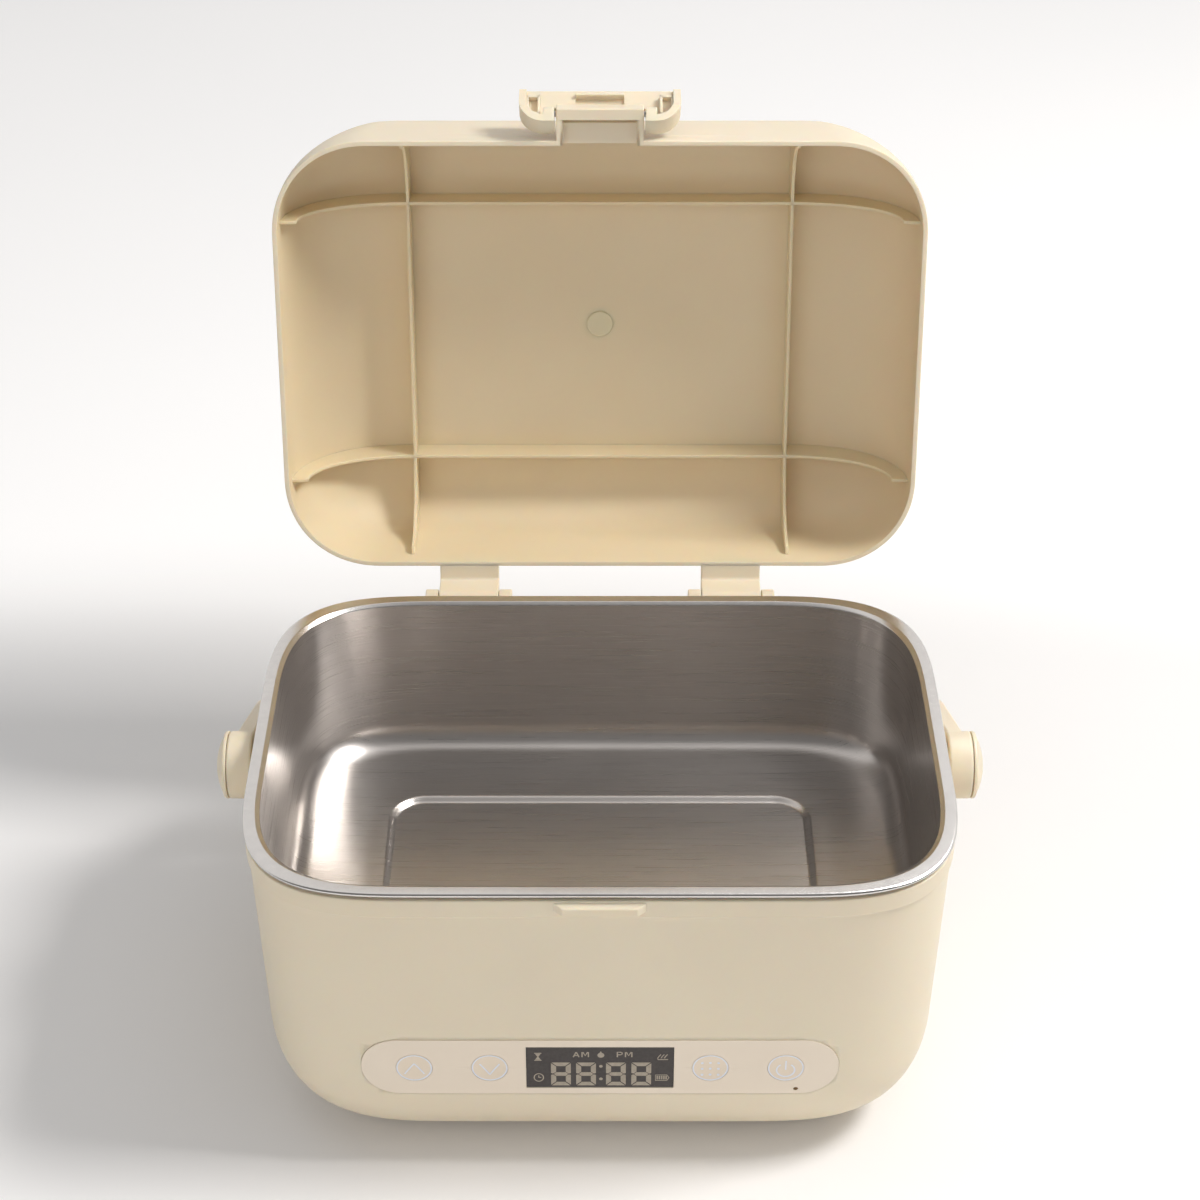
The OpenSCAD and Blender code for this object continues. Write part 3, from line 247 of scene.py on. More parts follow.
@dataclass(frozen=True)
class Metal:
    """Sheet or turned metal, brushed one way or plain."""

    name: str
    colour: tuple[float, float, float, float]
    deep: tuple[float, float, float, float]
    grain: Grain = Grain.NONE
    rough_low: float = 0.24
    rough_high: float = 0.36
    streak: float = 0.0

    def build(self) -> bpy.types.Material:
        """Return the finished material."""
        kit = NodeKit(self.name)
        shader = kit.shader
        shader.inputs["Metallic"].default_value = 1.0
        if self.grain is Grain.NONE:
            lines = kit.noise(420.0, 4.0)
        elif self.grain is Grain.ALONG_X:
            lines = kit.noise(1.0, 3.0, (24.0, 3200.0, 3200.0))
        else:
            walls = kit.noise(1.0, 3.0, (20.0, 20.0, 3400.0))
            floor = kit.noise(1.0, 3.0, (20.0, 3400.0, 20.0))
            lines = kit.mix(kit.facing_up(), walls, floor)
        cloud = kit.noise(22.0, 2.0)
        kit.link(kit.ramp(kit.mix(cloud, lines, cloud), self.deep, self.colour, 0.3, 0.7),
                 shader.inputs["Base Color"])
        kit.link(kit.span(lines, self.rough_low, self.rough_high), shader.inputs["Roughness"])
        kit.bump(lines, 0.12, 0.00002)
        if self.streak:
            shader.inputs["Anisotropic"].default_value = self.streak
            shader.inputs["Anisotropic Rotation"].default_value = 0.25
            kit.link(kit.grain_way(), shader.inputs["Tangent"])
        return kit.material


@dataclass(frozen=True)
class Mottled:
    """A matt or glossy finish whose colour and gloss change a little from place to place."""

    name: str
    colour: tuple[float, float, float, float]
    deep: tuple[float, float, float, float]
    rough_low: float = 0.5
    rough_high: float = 0.65
    scale: float = 300.0
    depth: float = 0.00003
    coat: float = 0.0
    gloss: float = 0.5

    def build(self) -> bpy.types.Material:
        """Return the finished material."""
        kit = NodeKit(self.name)
        spots = kit.noise(self.scale, 4.0)
        kit.link(kit.ramp(spots, self.deep, self.colour), kit.shader.inputs["Base Color"])
        kit.link(kit.span(spots, self.rough_low, self.rough_high), kit.shader.inputs["Roughness"])
        kit.bump(kit.noise(self.scale * 4, 2.0), 0.3, self.depth)
        kit.shader.inputs["Specular IOR Level"].default_value = self.gloss
        if self.coat:
            kit.shader.inputs["Coat Weight"].default_value = self.coat
            kit.shader.inputs["Coat Roughness"].default_value = 0.08
        return kit.material


class Finish(Enum):
    """Every finish on the box."""

    SHELL = Plastic("cream_moulding", srgb(229, 216, 191), srgb(227, 213, 188), glow=0.25)
    # Inside of the lid: a darker, more saturated copy of the cream, painted shade for the shade and warm bounce
    # inside the lid. Its rougher skin is its own.
    INNER = Plastic("lid_inner_painted_shade", srgb(227, 211, 178), srgb(224, 207, 173), 0.46, 0.58, glow=0.25)
    PANEL = Plastic("panel_skin", srgb(236, 222, 203), srgb(234, 219, 200), 0.46, 0.58, 3600.0, 0.000012)
    KEY = Plastic("key_skin", srgb(234, 219, 199), srgb(231, 216, 195), 0.48, 0.6, 3600.0, 0.000012)
    WINDOW = Mottled("smoked_glass", srgb(74, 69, 67), srgb(66, 61, 59), 0.30, 0.40, 900.0, 0.000004,
                     gloss=0.25)
    SEGMENT = Mottled("display_segment", srgb(172, 161, 144), srgb(160, 149, 133), 0.5, 0.6, 700.0, 0.000004)
    PRINT = Mottled("printed_line", srgb(236, 238, 245), srgb(230, 232, 240), 0.5, 0.6, 900.0, 0.000004)
    # Sound hole: a tan-brown disc just behind the hole, painted shade for the dark inside of the hole.
    HOLE = Mottled("sound_hole", srgb(122, 88, 40), srgb(96, 66, 26), 0.6, 0.75, 900.0)
    STEEL = Metal("brushed_sheet", srgb(206, 201, 197), srgb(192, 187, 183), Grain.AROUND, 0.24, 0.33, 0.6)
    # Rolled flange: polished steel, smoother than the brushed tub, and a little lighter in colour; the lighter
    # colour is painted highlight.
    RIM = Metal("polished_rim_painted_highlight", srgb(214, 211, 208), srgb(206, 203, 200), Grain.NONE, 0.16, 0.24)
    PIN = Metal("pin_steel", srgb(186, 184, 182), srgb(160, 158, 156), Grain.ALONG_X, 0.26, 0.4)
    BRIGHT = Metal("fastener_steel", srgb(190, 188, 185), srgb(164, 162, 160))
    ALUMINIUM = Metal("pressed_aluminium", srgb(214, 215, 217), srgb(196, 197, 199), Grain.AROUND, 0.34, 0.48)
    ELEMENT = Metal("heated_tube", srgb(112, 102, 95), srgb(82, 74, 70), Grain.NONE, 0.42, 0.6)
    NICKEL = Metal("nickel_ribbon", srgb(206, 202, 190), srgb(184, 180, 168), Grain.ALONG_X)
    RUBBER = Mottled("foot_rubber", srgb(58, 57, 56), srgb(44, 43, 42), 0.72, 0.86, 500.0, 0.00006)
    FELT = Mottled("ceramic_felt", srgb(232, 230, 222), srgb(214, 211, 201), 0.85, 0.95, 700.0, 0.0002)
    CERAMIC = Mottled("fuse_ceramic", srgb(226, 218, 198), srgb(214, 204, 182), 0.24, 0.36, 260.0)
    BLACK = Mottled("black_moulding", srgb(44, 44, 46), srgb(34, 34, 36), 0.38, 0.52, 420.0)
    SLEEVE = Mottled("cell_film", srgb(48, 104, 170), srgb(40, 92, 156), 0.2, 0.3, 120.0, 0.00002, 0.4)
    BOARD = Mottled("circuit_board", srgb(30, 98, 66), srgb(22, 80, 54), 0.28, 0.4, 800.0, 0.00003, 0.3)
    LEAD = Mottled("silicone_lead", srgb(190, 54, 42), srgb(172, 44, 34), 0.42, 0.54, 500.0)

    def material(self) -> bpy.types.Material:
        """Return this finish's material, made on first use."""
        return bpy.data.materials.get(self.value.name) or self.value.build()


# ---------------------------------------------------------------- shapes


def superellipse_ring(half_x: float, half_y: float, reach: float, power: float, z: float,
                      steps: int = 26) -> list[Vector]:
    """Return the points of a rounded rectangle, counter-clockwise seen from above.

    Args:
        half_x: Half its width.
        half_y: Half its depth.
        reach: How far each corner's rounding reaches along the sides.
        power: 2 for a circular corner, more for one that blends into the sides.
        z: Height of the ring.
        steps: Points in each corner.

    Returns:
        The ring's points in millimetres.
    """
    quarter = []
    for i in range(steps + 1):
        turn = math.pi / 2 * i / steps
        quarter.append((half_x - reach + reach * max(0.0, math.cos(turn)) ** (2 / power),
                        half_y - reach + reach * max(0.0, math.sin(turn)) ** (2 / power)))
    back = quarter[::-1]
    corners = ([(x, y) for x, y in quarter] + [(-x, y) for x, y in back]
               + [(-x, -y) for x, y in quarter] + [(x, -y) for x, y in back])
    return [Vector((x, y, z)) for x, y in corners]


def smooth(share: float) -> float:
    """Return a share from 0 to 1 that starts and ends gently."""
    return share * share * (3 - 2 * share)


def rect(x0: float, z0: float, x1: float, z1: float) -> list[PointYZ]:
    """Return a rectangle's outline from one corner round to the one before it."""
    return [(x0, z0), (x1, z0), (x1, z1), (x0, z1)]


def draw_out(part: bmesh.types.BMesh, corners: Iterable[Sequence[float]],
             way: Vector) -> list[bmesh.types.BMVert]:
    """Draw a flat face out into a solid and return the corners that moved."""
    face = part.faces.new([part.verts.new(corner) for corner in corners])
    drawn = bmesh.ops.extrude_face_region(part, geom=[face])
    moved = [v for v in drawn["geom"] if isinstance(v, bmesh.types.BMVert)]
    bmesh.ops.translate(part, verts=moved, vec=way)
    return moved


def add_object(name: str, data: bpy.types.ID) -> bpy.types.Object:
    """Return a new object that is in the scene."""
    made = bpy.data.objects.new(name, data)
    bpy.context.scene.collection.objects.link(made)
    return made


def arc(centre: PointYZ, radius: float, start: float, end: float, steps: int = 8) -> list[PointYZ]:
    """Return points on an arc from start to end, in degrees.

    Args:
        centre: Centre of the arc.
        radius: Its radius.
        start: First angle.
        end: Last angle.
        steps: Number of stretches.

    Returns:
        The points, both ends included.
    """
    turns = [math.radians(start + (end - start) * i / steps) for i in range(steps + 1)]
    return [(centre[0] + radius * math.cos(t), centre[1] + radius * math.sin(t)) for t in turns]


class Shape:
    """A mesh in the making, in millimetres."""

    def __init__(self) -> None:
        """Start with an empty mesh."""
        self.bm = bmesh.new()

    def rim(self, verts: Sequence[bmesh.types.BMVert]) -> list[bmesh.types.BMEdge]:
        """Return the edges of the closed loop through verts, made where they are missing."""
        pairs = [(verts[i - 1], verts[i]) for i in range(len(verts))]
        return [self.bm.edges.get(pair) or self.bm.edges.new(pair) for pair in pairs]

    def loft(self, rings: Sequence[Iterable[Vector]], closed: bool = False) -> "Shape":
        """Draw a loop out from ring to ring into a skin.

        Args:
            rings: Loops of points, all of one length.
            closed: Join the last ring to the first; otherwise both ends are filled.

        Returns:
            This shape.
        """
        verts = start = [self.bm.verts.new(p) for p in rings[0]]
        first = edges = self.rim(verts)
        for points in list(rings[1:]) + (list(rings[:1]) if closed else []):
            drawn = bmesh.ops.extrude_edge_only(self.bm, edges=edges)["geom"]
            fresh = {v for v in drawn if isinstance(v, bmesh.types.BMVert)}
            verts = [next(e.other_vert(v) for e in v.link_edges if e.other_vert(v) in fresh) for v in verts]
            for vert, point in zip(verts, points):
                vert.co = point
            edges = self.rim(verts)
        if closed:
            bmesh.ops.weld_verts(self.bm, targetmap=dict(zip(verts, start)))
        else:
            for loop in (first, edges):
                filled = bmesh.ops.edgeloop_fill(self.bm, edges=loop)
                bmesh.ops.poke(self.bm, faces=filled["faces"])
        bmesh.ops.recalc_face_normals(self.bm, faces=self.bm.faces)
        return self

    def prism(self, outline: Sequence[PointYZ], low: float, high: float, axis: str = "X",
              edge: float = 0.0, segments: int = 2) -> "Shape":
        """Add a flat outline drawn out along an axis, with its edges rounded.

        Args:
            outline: Points in the plane across the axis: (y, z) for X, (x, z) for Y, (x, y) for Z.
            low: Where it starts along the axis.
            high: Where it ends.
            axis: X, Y or Z.
            edge: Radius of the rounding along both ends' edges.
            segments: Steps in that rounding.

        Returns:
            This shape.
        """
        place = {"X": lambda a, b: Vector((low, a, b)), "Y": lambda a, b: Vector((a, low, b)),
                 "Z": lambda a, b: Vector((a, b, low))}[axis]
        way = {"X": Vector((1, 0, 0)), "Y": Vector((0, 1, 0)), "Z": Vector((0, 0, 1))}[axis]
        part = bmesh.new()
        draw_out(part, [place(a, b) for a, b in outline], way * (high - low))
        bmesh.ops.recalc_face_normals(part, faces=part.faces)
        if edge:
            round_edges(part, edge, segments)
        self.absorb(part)
        return self

    def spin(self, profile: Sequence[PointYZ], centre: Vector, axis: Vector, steps: int = 48) -> "Shape":
        """Add a profile of (radius, height) turned about an axis.

        Args:
            profile: Points from the axis outwards and back to it.
            centre: Where height 0 lies.
            axis: Direction of growing height.
            steps: Faces round the turn.

        Returns:
            This shape.
        """
        part = bmesh.new()
        verts = [part.verts.new((r, 0, h)) for r, h in profile]
        edges = [part.edges.new(pair) for pair in zip(verts, verts[1:])]
        bmesh.ops.spin(part, geom=verts + edges, cent=(0, 0, 0), axis=(0, 0, 1), angle=math.tau,
                       steps=steps, use_merge=True)
        bmesh.ops.remove_doubles(part, verts=part.verts, dist=1e-4)
        bmesh.ops.recalc_face_normals(part, faces=part.faces)
        turn = Vector((0, 0, 1)).rotation_difference(axis).to_matrix().to_4x4()
        bmesh.ops.transform(part, matrix=Matrix.Translation(centre) @ turn, verts=part.verts)
        self.absorb(part)
        return self

    def bar(self, start: Vector, end: Vector, diameter: float, edge: float = 0.15,
            steps: int = 32) -> "Shape":
        """Add a round bar with softened ends from start to end."""
        length, r = (end - start).length, diameter / 2
        profile = [(0, 0), (r - edge, 0), (r, edge), (r, length - edge), (r - edge, length), (0, length)]
        return self.spin(profile, start, (end - start).normalized(), steps)

    @classmethod
    def taken_from(cls, piece: bpy.types.Object) -> "Shape":
        """Return an object's shape in millimetres, and remove the object."""
        shape = cls()
        shape.bm.from_mesh(piece.data)
        bpy.data.objects.remove(piece)
        bmesh.ops.scale(shape.bm, vec=(1 / MM,) * 3, verts=shape.bm.verts)
        return shape

    def thicken(self, part: bmesh.types.BMesh, thickness: float) -> None:
        """Add a flat mesh, made a thickness deep."""
        part.normal_update()
        bmesh.ops.solidify(part, geom=part.faces[:], thickness=thickness)
        bmesh.ops.recalc_face_normals(part, faces=part.faces)
        self.absorb(part)

    def absorb(self, part: bmesh.types.BMesh) -> None:
        """Add another mesh to this one and free it."""
        spare = bpy.data.meshes.new("spare")
        part.to_mesh(spare)
        part.free()
        self.bm.from_mesh(spare)
        bpy.data.meshes.remove(spare)

    def turn(self, matrix: Matrix) -> "Shape":
        """Move the whole shape by a matrix in millimetres and return it."""
        bmesh.ops.transform(self.bm, matrix=matrix, verts=self.bm.verts)
        return self

    def finish(self, name: str, finish: Finish, sharp: float = 32.0) -> bpy.types.Object:
        """Turn the shape into an object of the scene, in metres.

        Args:
            name: Name of the piece.
            finish: What it is finished with.
            sharp: Edges that turn by more degrees than this stay sharp in the shading.

        Returns:
            The object.
        """
        bmesh.ops.scale(self.bm, vec=(MM, MM, MM), verts=self.bm.verts)
        mesh = bpy.data.meshes.new(name)
        self.bm.to_mesh(mesh)
        self.bm.free()
        mesh.shade_smooth()
        mesh.set_sharp_from_angle(angle=math.radians(sharp))
        mesh.materials.append(finish.material())
        piece = add_object(name, mesh)
        weigh = piece.modifiers.new("flat_faces_stay_flat", "WEIGHTED_NORMAL")
        weigh.keep_sharp = True
        log.info("made %s: %d faces", name, len(mesh.polygons))
        return piece


def round_edges(bm: bmesh.types.BMesh, radius: float, segments: int = 2, angle: float = 35.0) -> None:
    """Round a mesh's sharp edges.

    Args:
        bm: The mesh.
        radius: Radius of the rounding.
        segments: Steps in the rounding.
        angle: Edges that turn by more degrees than this are rounded.
    """
    sharp = [e for e in bm.edges if e.is_manifold and e.calc_face_angle(0) > math.radians(angle)]
    bmesh.ops.bevel(bm, geom=sharp, offset=radius, offset_type="OFFSET", segments=segments, profile=0.5,
                    affect="EDGES", clamp_overlap=True, material=-1)


def refined(node: str, radius: float, segments: int = 2, angle: float = 35.0) -> Shape:
    """Return a node's own shape with its edges rounded, in millimetres.

    Args:
        node: Name of the node.
        radius: Radius of the rounding.
        segments: Steps in the rounding.
        angle: Edges that turn by more degrees than this are rounded.

    Returns:
        The shape, not yet an object.
    """
    shape = Shape()
    shape.bm.from_mesh(frame["nodes"][node].data)
    bmesh.ops.scale(shape.bm, vec=(1 / MM,) * 3, verts=shape.bm.verts)
    bmesh.ops.remove_doubles(shape.bm, verts=shape.bm.verts, dist=1e-3)
    bmesh.ops.dissolve_limit(shape.bm, angle_limit=math.radians(0.6), verts=shape.bm.verts,
                             edges=shape.bm.edges)
    round_edges(shape.bm, radius, segments, angle)
    return shape


def carve(piece: bpy.types.Object, cutter: bpy.types.Object, operation: str = "DIFFERENCE") -> None:
    """Cut one piece with another, and remove the cutter.

    Args:
        piece: What is cut.
        cutter: What cuts it.
        operation: DIFFERENCE, INTERSECT or UNION.
    """
    modifier = piece.modifiers.new("carve", "BOOLEAN")
    modifier.operation = operation
    modifier.solver = "EXACT"
    modifier.object = cutter
    bpy.context.view_layer.update()
    cut = bpy.data.meshes.new_from_object(piece.evaluated_get(bpy.context.evaluated_depsgraph_get()))
    piece.modifiers.clear()
    old = piece.data
    piece.data = cut
    bpy.data.meshes.remove(old)
    bpy.data.objects.remove(cutter)


def node_box(node: str) -> tuple[Vector, Vector]:
    """Return a node's lowest and highest corners in millimetres."""
    low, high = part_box(node)
    return low / MM, high / MM


def joint(name: str) -> dict:
    """Return a joint's record by its name."""
    return next(j for j in frame["joints"] if j["name"] == name)


def joint_place(name: str) -> Vector:
    """Return where a joint lies, in millimetres."""
    return Vector(joint(name)["pos_m"]) / MM


# ---------------------------------------------------------------- body


RIM_HIGH = node_box("food_container")[1]
RIM_Z = RIM_HIGH.z
HALF_W = RIM_HIGH.x
HALF_D = RIM_HIGH.y


def rim_ring(inset: float, z: float) -> list[Vector]:
    """Return the ring of the steel rim, drawn in by a distance."""
    return superellipse_ring(HALF_W - inset, HALF_D - inset, 63.0 - 0.6 * inset, 3.35, z)


def soft_rect(half_x: float, half_y: float, radius: float, z: float) -> list[Vector]:
    """Return a ring with circular corners."""
    return superellipse_ring(half_x, half_y, radius, 2.0, z)


@dataclass
class Body:
    """Outer shell with its bead, hinge ears, catch and pivot bosses, and what is fixed to it."""

    top: float = RIM_Z - 3.0
    base: float = 2.0
    wall: float = 2.4
    lip_in: float = 0.9
    bead_in: float = 0.4
    bead_out: float = 0.6
    bead_height: float = 7.5
    draft: float = 1.93
    round_up: float = 44.0
    round_in: float = 30.0
    floor: float = 4.0
    cover_half: tuple[float, float] = (80.2, 47.2)
    cover_corner: float = 20.0
    ledge: float = 12.0

    def wall_inset(self, z: float) -> float:
        """Return how far the outer face lies inside the steel rim at a height."""
        slope = math.tan(math.radians(self.draft))
        start = self.bead_in + self.bead_out + 0.1
        if z >= self.round_z:
            return start + (self.bead_low - z) * slope
        foot = start + (self.bead_low - self.round_z) * slope
        share = min(1.0, (self.round_z - z) / self.round_up)
        return foot + self.round_in * (1 - math.sqrt(1 - share * share))

    @property
    def bead_low(self) -> float:
        """Height of the bead's lower edge."""
        return self.top - self.bead_height

    @property
    def round_z(self) -> float:
        """Height at which the bottom rounding starts."""
        return self.base + self.round_up

    def outside(self) -> list[list[Vector]]:
        """Return the outer face's rings, from the lip down to the flat underside."""
        rings = [rim_ring(self.lip_in, self.top), rim_ring(self.lip_in - 0.15, self.top - 0.04)]
        for i in range(1, 5):
            turn = math.pi / 2 * i / 4
            rings.append(rim_ring(self.lip_in - 0.15 - 0.35 * math.sin(turn),
                                  self.top - 0.04 - 0.56 * (1 - math.cos(turn))))
        low = self.bead_low
        rings.append(rim_ring(self.bead_in, low + 0.9))
        for i in range(1, 7):
            share = i / 6
            rings.append(rim_ring(self.bead_in + self.bead_out * smooth(share), low + 0.9 - 0.9 * share))
        levels = [low - 1.0] + [low - 2 - (low - 2 - 66) * i / 8 for i in range(9)]
        levels += [66 - 2 * i for i in range(1, 11)]
        rings += [rim_ring(self.wall_inset(z), z) for z in levels if z > self.round_z]
        steps = 22
        foot = self.wall_inset(self.round_z)
        for i in range(steps + 1):
            turn = math.pi / 2 * i / steps
            rings.append(rim_ring(foot + self.round_in * (1 - math.cos(turn)),
                                  self.round_z - self.round_up * math.sin(turn)))
        return rings

    def inside(self) -> list[list[Vector]]:
        """Return the inner face's rings, from the floor up to the lip."""
        foot = self.wall_inset(self.round_z)
        floor_z = self.base + self.floor
        rings = []
        for i in range(8, -1, -1):
            turn = math.pi / 2 * i / 8
            rings.append(rim_ring(foot + self.wall + (self.round_in - self.wall) * (1 - math.cos(turn)),
                                  self.round_z - (self.round_z - floor_z) * math.sin(turn)))
        rings.append(rim_ring(self.lip_in + self.wall, self.top))
        return rings

    def cover_rings(self) -> list[list[Vector]]:
        """Return the rings of the recess that holds the bottom cover."""
        half_x, half_y = self.cover_half
        step = self.base + 2.1
        grown = lambda grow, z: soft_rect(half_x + grow, half_y + grow, self.cover_corner + min(grow, 0), z)
        return [grown(0.5, self.base), grown(0.0, self.base + 0.3), grown(0.0, step),
                grown(-self.ledge, step), grown(-self.ledge, self.base + self.floor)]

    def shell(self) -> bpy.types.Object:
        """Build the outer shell with everything moulded on it."""
        shape = Shape().loft(self.outside() + self.cover_rings() + self.inside(), closed=True)
        piece = shape.finish("outer_shell_skin", Finish.SHELL)
        carve(piece, self.panel_cutter(0.12))
        return piece

    def panel_cutter(self, grow: float) -> bpy.types.Object:
        """Return the pill-shaped cutter of the control panel's opening."""
        panel = ControlPanel()
        outline = panel.pill(grow)
        return Shape().prism(outline, -HALF_D - 6, -HALF_D + 26, "Y").finish("panel_cutter", Finish.SHELL)

    def fittings(self) -> bpy.types.Object:
        """Build the hinge ears, the catch and the pivot bosses."""
        shape = Shape()
        hinge = joint_place("lid_hinge")
        ear = Hinge()
        for side in (-1, 1):
            for end in (-1, 1):
                middle = side * ear.place + end * (ear.arm / 2 + ear.gap + ear.ear / 2)
                low, high = middle - ear.ear / 2, middle + ear.ear / 2
                shape.prism(ear.ear_outline(hinge, self), low, high, "X", 0.45, 3)
        self.catch(shape)
        pivot = joint_place("handle_hinge")
        for side in (-1, 1):
            shape.bar(Vector((side * (HALF_W - 2.4), pivot.y, pivot.z)),
                      Vector((side * (HALF_W + 1.4), pivot.y, pivot.z)), 19.0, 0.5, 64)
        return shape.finish("shell_fittings", Finish.SHELL)

    def catch(self, shape: Shape) -> None:
        """Add the catch that the latch hooks under."""
        out, top, low = HALF_D + 2.0, self.top - 1.5, self.top - 4.5
        root = HALF_D - self.wall_inset(low) - 0.5
        outline = [(-15.0, -root), (-15.0, -HALF_D + 0.5), (-12.0, -out), (12.0, -out), (15.0, -HALF_D + 0.5),
                   (15.0, -root)]
        part = bmesh.new()
        for vert in draw_out(part, [(x, y, low) for x, y in outline], Vector((0, 0, self.top - 0.6 - low))):
            if vert.co.y < -out + 0.1:
                vert.co.z = top
        bmesh.ops.recalc_face_normals(part, faces=part.faces)
        round_edges(part, 0.5, 3, 20)
        shape.absorb(part)


@dataclass
class Hinge:
    """Sizes of the two hinges and the outlines of their arms and ears."""

    place: float = 48.6
    arm: float = 21.8
    ear: float = 4.7
    gap: float = 0.35
    barrel: float = 4.8

    def ear_outline(self, hinge: Vector, body: Body) -> list[PointYZ]:
        """Return an ear's side outline: a round end on a web that runs down the rear wall."""
        r = self.barrel - 0.3
        root = HALF_D - body.wall_inset(hinge.z - 8) - 0.6
        low = HALF_D - body.wall_inset(hinge.z - 14) - 0.6
        return ([(root, body.top - 1.0)] + [(root + 3.0, body.top - 0.4)]
                + arc((hinge.y, hinge.z), r, 100, -62, 14)
                + [(low + 2.0, hinge.z - 11.5), (low, hinge.z - 14)])

    def arm_outline(self, hinge: Vector, mouth: float, wall_in: float) -> list[PointYZ]:
        """Return a lid arm's side outline with the lid closed."""
        edge = HALF_D - 0.4
        return ([(wall_in, mouth), (edge, mouth)]
                + arc((edge + 0.2, mouth - 1.6), 1.6, 90, 40, 4)[1:]
                + [(hinge.y - self.barrel, hinge.z + 1.5)]
                + arc((hinge.y, hinge.z), self.barrel, 180, 388, 18)
                + arc((hinge.y - 2.6, mouth + 0.2), 4.0, 12, 78, 6)
                + [(edge + 1.4, mouth + 4.0), (wall_in, mouth + 4.6)])


# ---------------------------------------------------------------- container


@dataclass
class Container:
    """Pressed steel container that lifts out of the body."""

    flange: float = 5.4
    sheet: float = 0.6
    depth: float = 62.0
    fillet: float = 9.0
    taper: float = 2.9
    press_half: tuple[float, float] = (76.5, 44.5)
    press_corner: float = 13.0
    press: float = 1.5
    roll: float = 1.6
    rise: float = 1.3

    def tub(self, inset: float, top: float, floor: float, radius: float, steps: int) -> list[list[Vector]]:
        """Return a tub wall's rings, from its floor up to its top.

        Args:
            inset: How far its top lies inside the rim.
            top: Height of the last ring.
            floor: Height of the floor.
            radius: Radius between floor and wall.
            steps: Rings in that rounding.

        Returns:
            The rings.
        """
        slope = math.tan(math.radians(self.taper))
        rings = []
        for i in range(steps + 1):
            turn = math.pi / 2 * i / steps
            rings.append(rim_ring(inset + (top - floor - radius) * slope + radius * (1 - math.sin(turn)),
                                  floor + radius * (1 - math.cos(turn))))
        rings += [rim_ring(inset + (top - floor - radius) * slope * (1 - k / 4),
                           floor + radius + (top - floor - radius) * k / 4) for k in range(1, 5)]
        return rings

    def press_ring(self, grow: float, z: float) -> list[Vector]:
        """Return a ring of the pressed panel in the floor."""
        return soft_rect(self.press_half[0] + grow, self.press_half[1] + grow, self.press_corner + grow, z)

    def press_rings(self, floor: float) -> list[list[Vector]]:
        """Return the rounded step of the pressed panel, from its floor outwards."""
        rings = []
        for i in range(9):
            share = i / 8
            rings.append(self.press_ring(-2.6 + 3.2 * share, floor - self.press * (1 - smooth(share))))
        return rings

    def border(self, near: list[Vector], far: list[Vector], steps: int = 6) -> list[list[Vector]]:
        """Return rings between the pressed panel and the fillet, where the floor rises gently."""
        rings = []
        for i in range(1, steps):
            share = i / steps
            level = near[0].z + (far[0].z - near[0].z) * share * share
            rings.append([Vector((*a.lerp(b, share).xy, level)) for a, b in zip(near, far)])
        return rings

    def build(self) -> bpy.types.Object:
        """Build the container with its rolled flange."""
        floor = RIM_Z - self.depth
        pressed = self.press_rings(floor)
        tub = self.tub(self.flange, RIM_Z - 1.1, floor + self.rise, self.fillet, 12)
        inner = pressed + self.border(pressed[-1], tub[1]) + tub[1:]
        inner += [rim_ring(self.flange - step, RIM_Z - drop)
                  for step, drop in ((0.1, 0.95), (0.28, 0.78), (1.15, 0.16), (1.35, 0.04), (1.6, 0.0))]
        edge = self.roll / 2
        for i in range(13):
            turn = math.radians(90 - 180 * i / 12)
            inner.append(rim_ring(edge - edge * math.cos(turn), RIM_Z - edge + edge * math.sin(turn)))
        under = RIM_Z - self.sheet - 0.05
        inner += [rim_ring(1.4, RIM_Z - self.roll + 0.1), rim_ring(1.4, under),
                  rim_ring(self.flange - 1.0, under)]
        outer = self.tub(self.flange - self.sheet, RIM_Z - 1.5, floor - self.sheet,
                         self.fillet + self.sheet, 6)
        inner += outer[::-1]
        inner += [self.press_ring(0.8, floor - self.sheet),
                  self.press_ring(-1.8, floor - self.press - self.sheet)]
        piece = Shape().loft(inner).finish("food_container_skin", Finish.STEEL, 60.0)
        # The flange above the roll's foot takes the polished finish, whose lighter colour is painted highlight.
        piece.data.materials.append(Finish.RIM.material())
        for face in piece.data.polygons:
            if face.center.z > (RIM_Z - self.roll - 0.1) * MM:
                face.material_index = 1
        return piece


# ---------------------------------------------------------------- lid


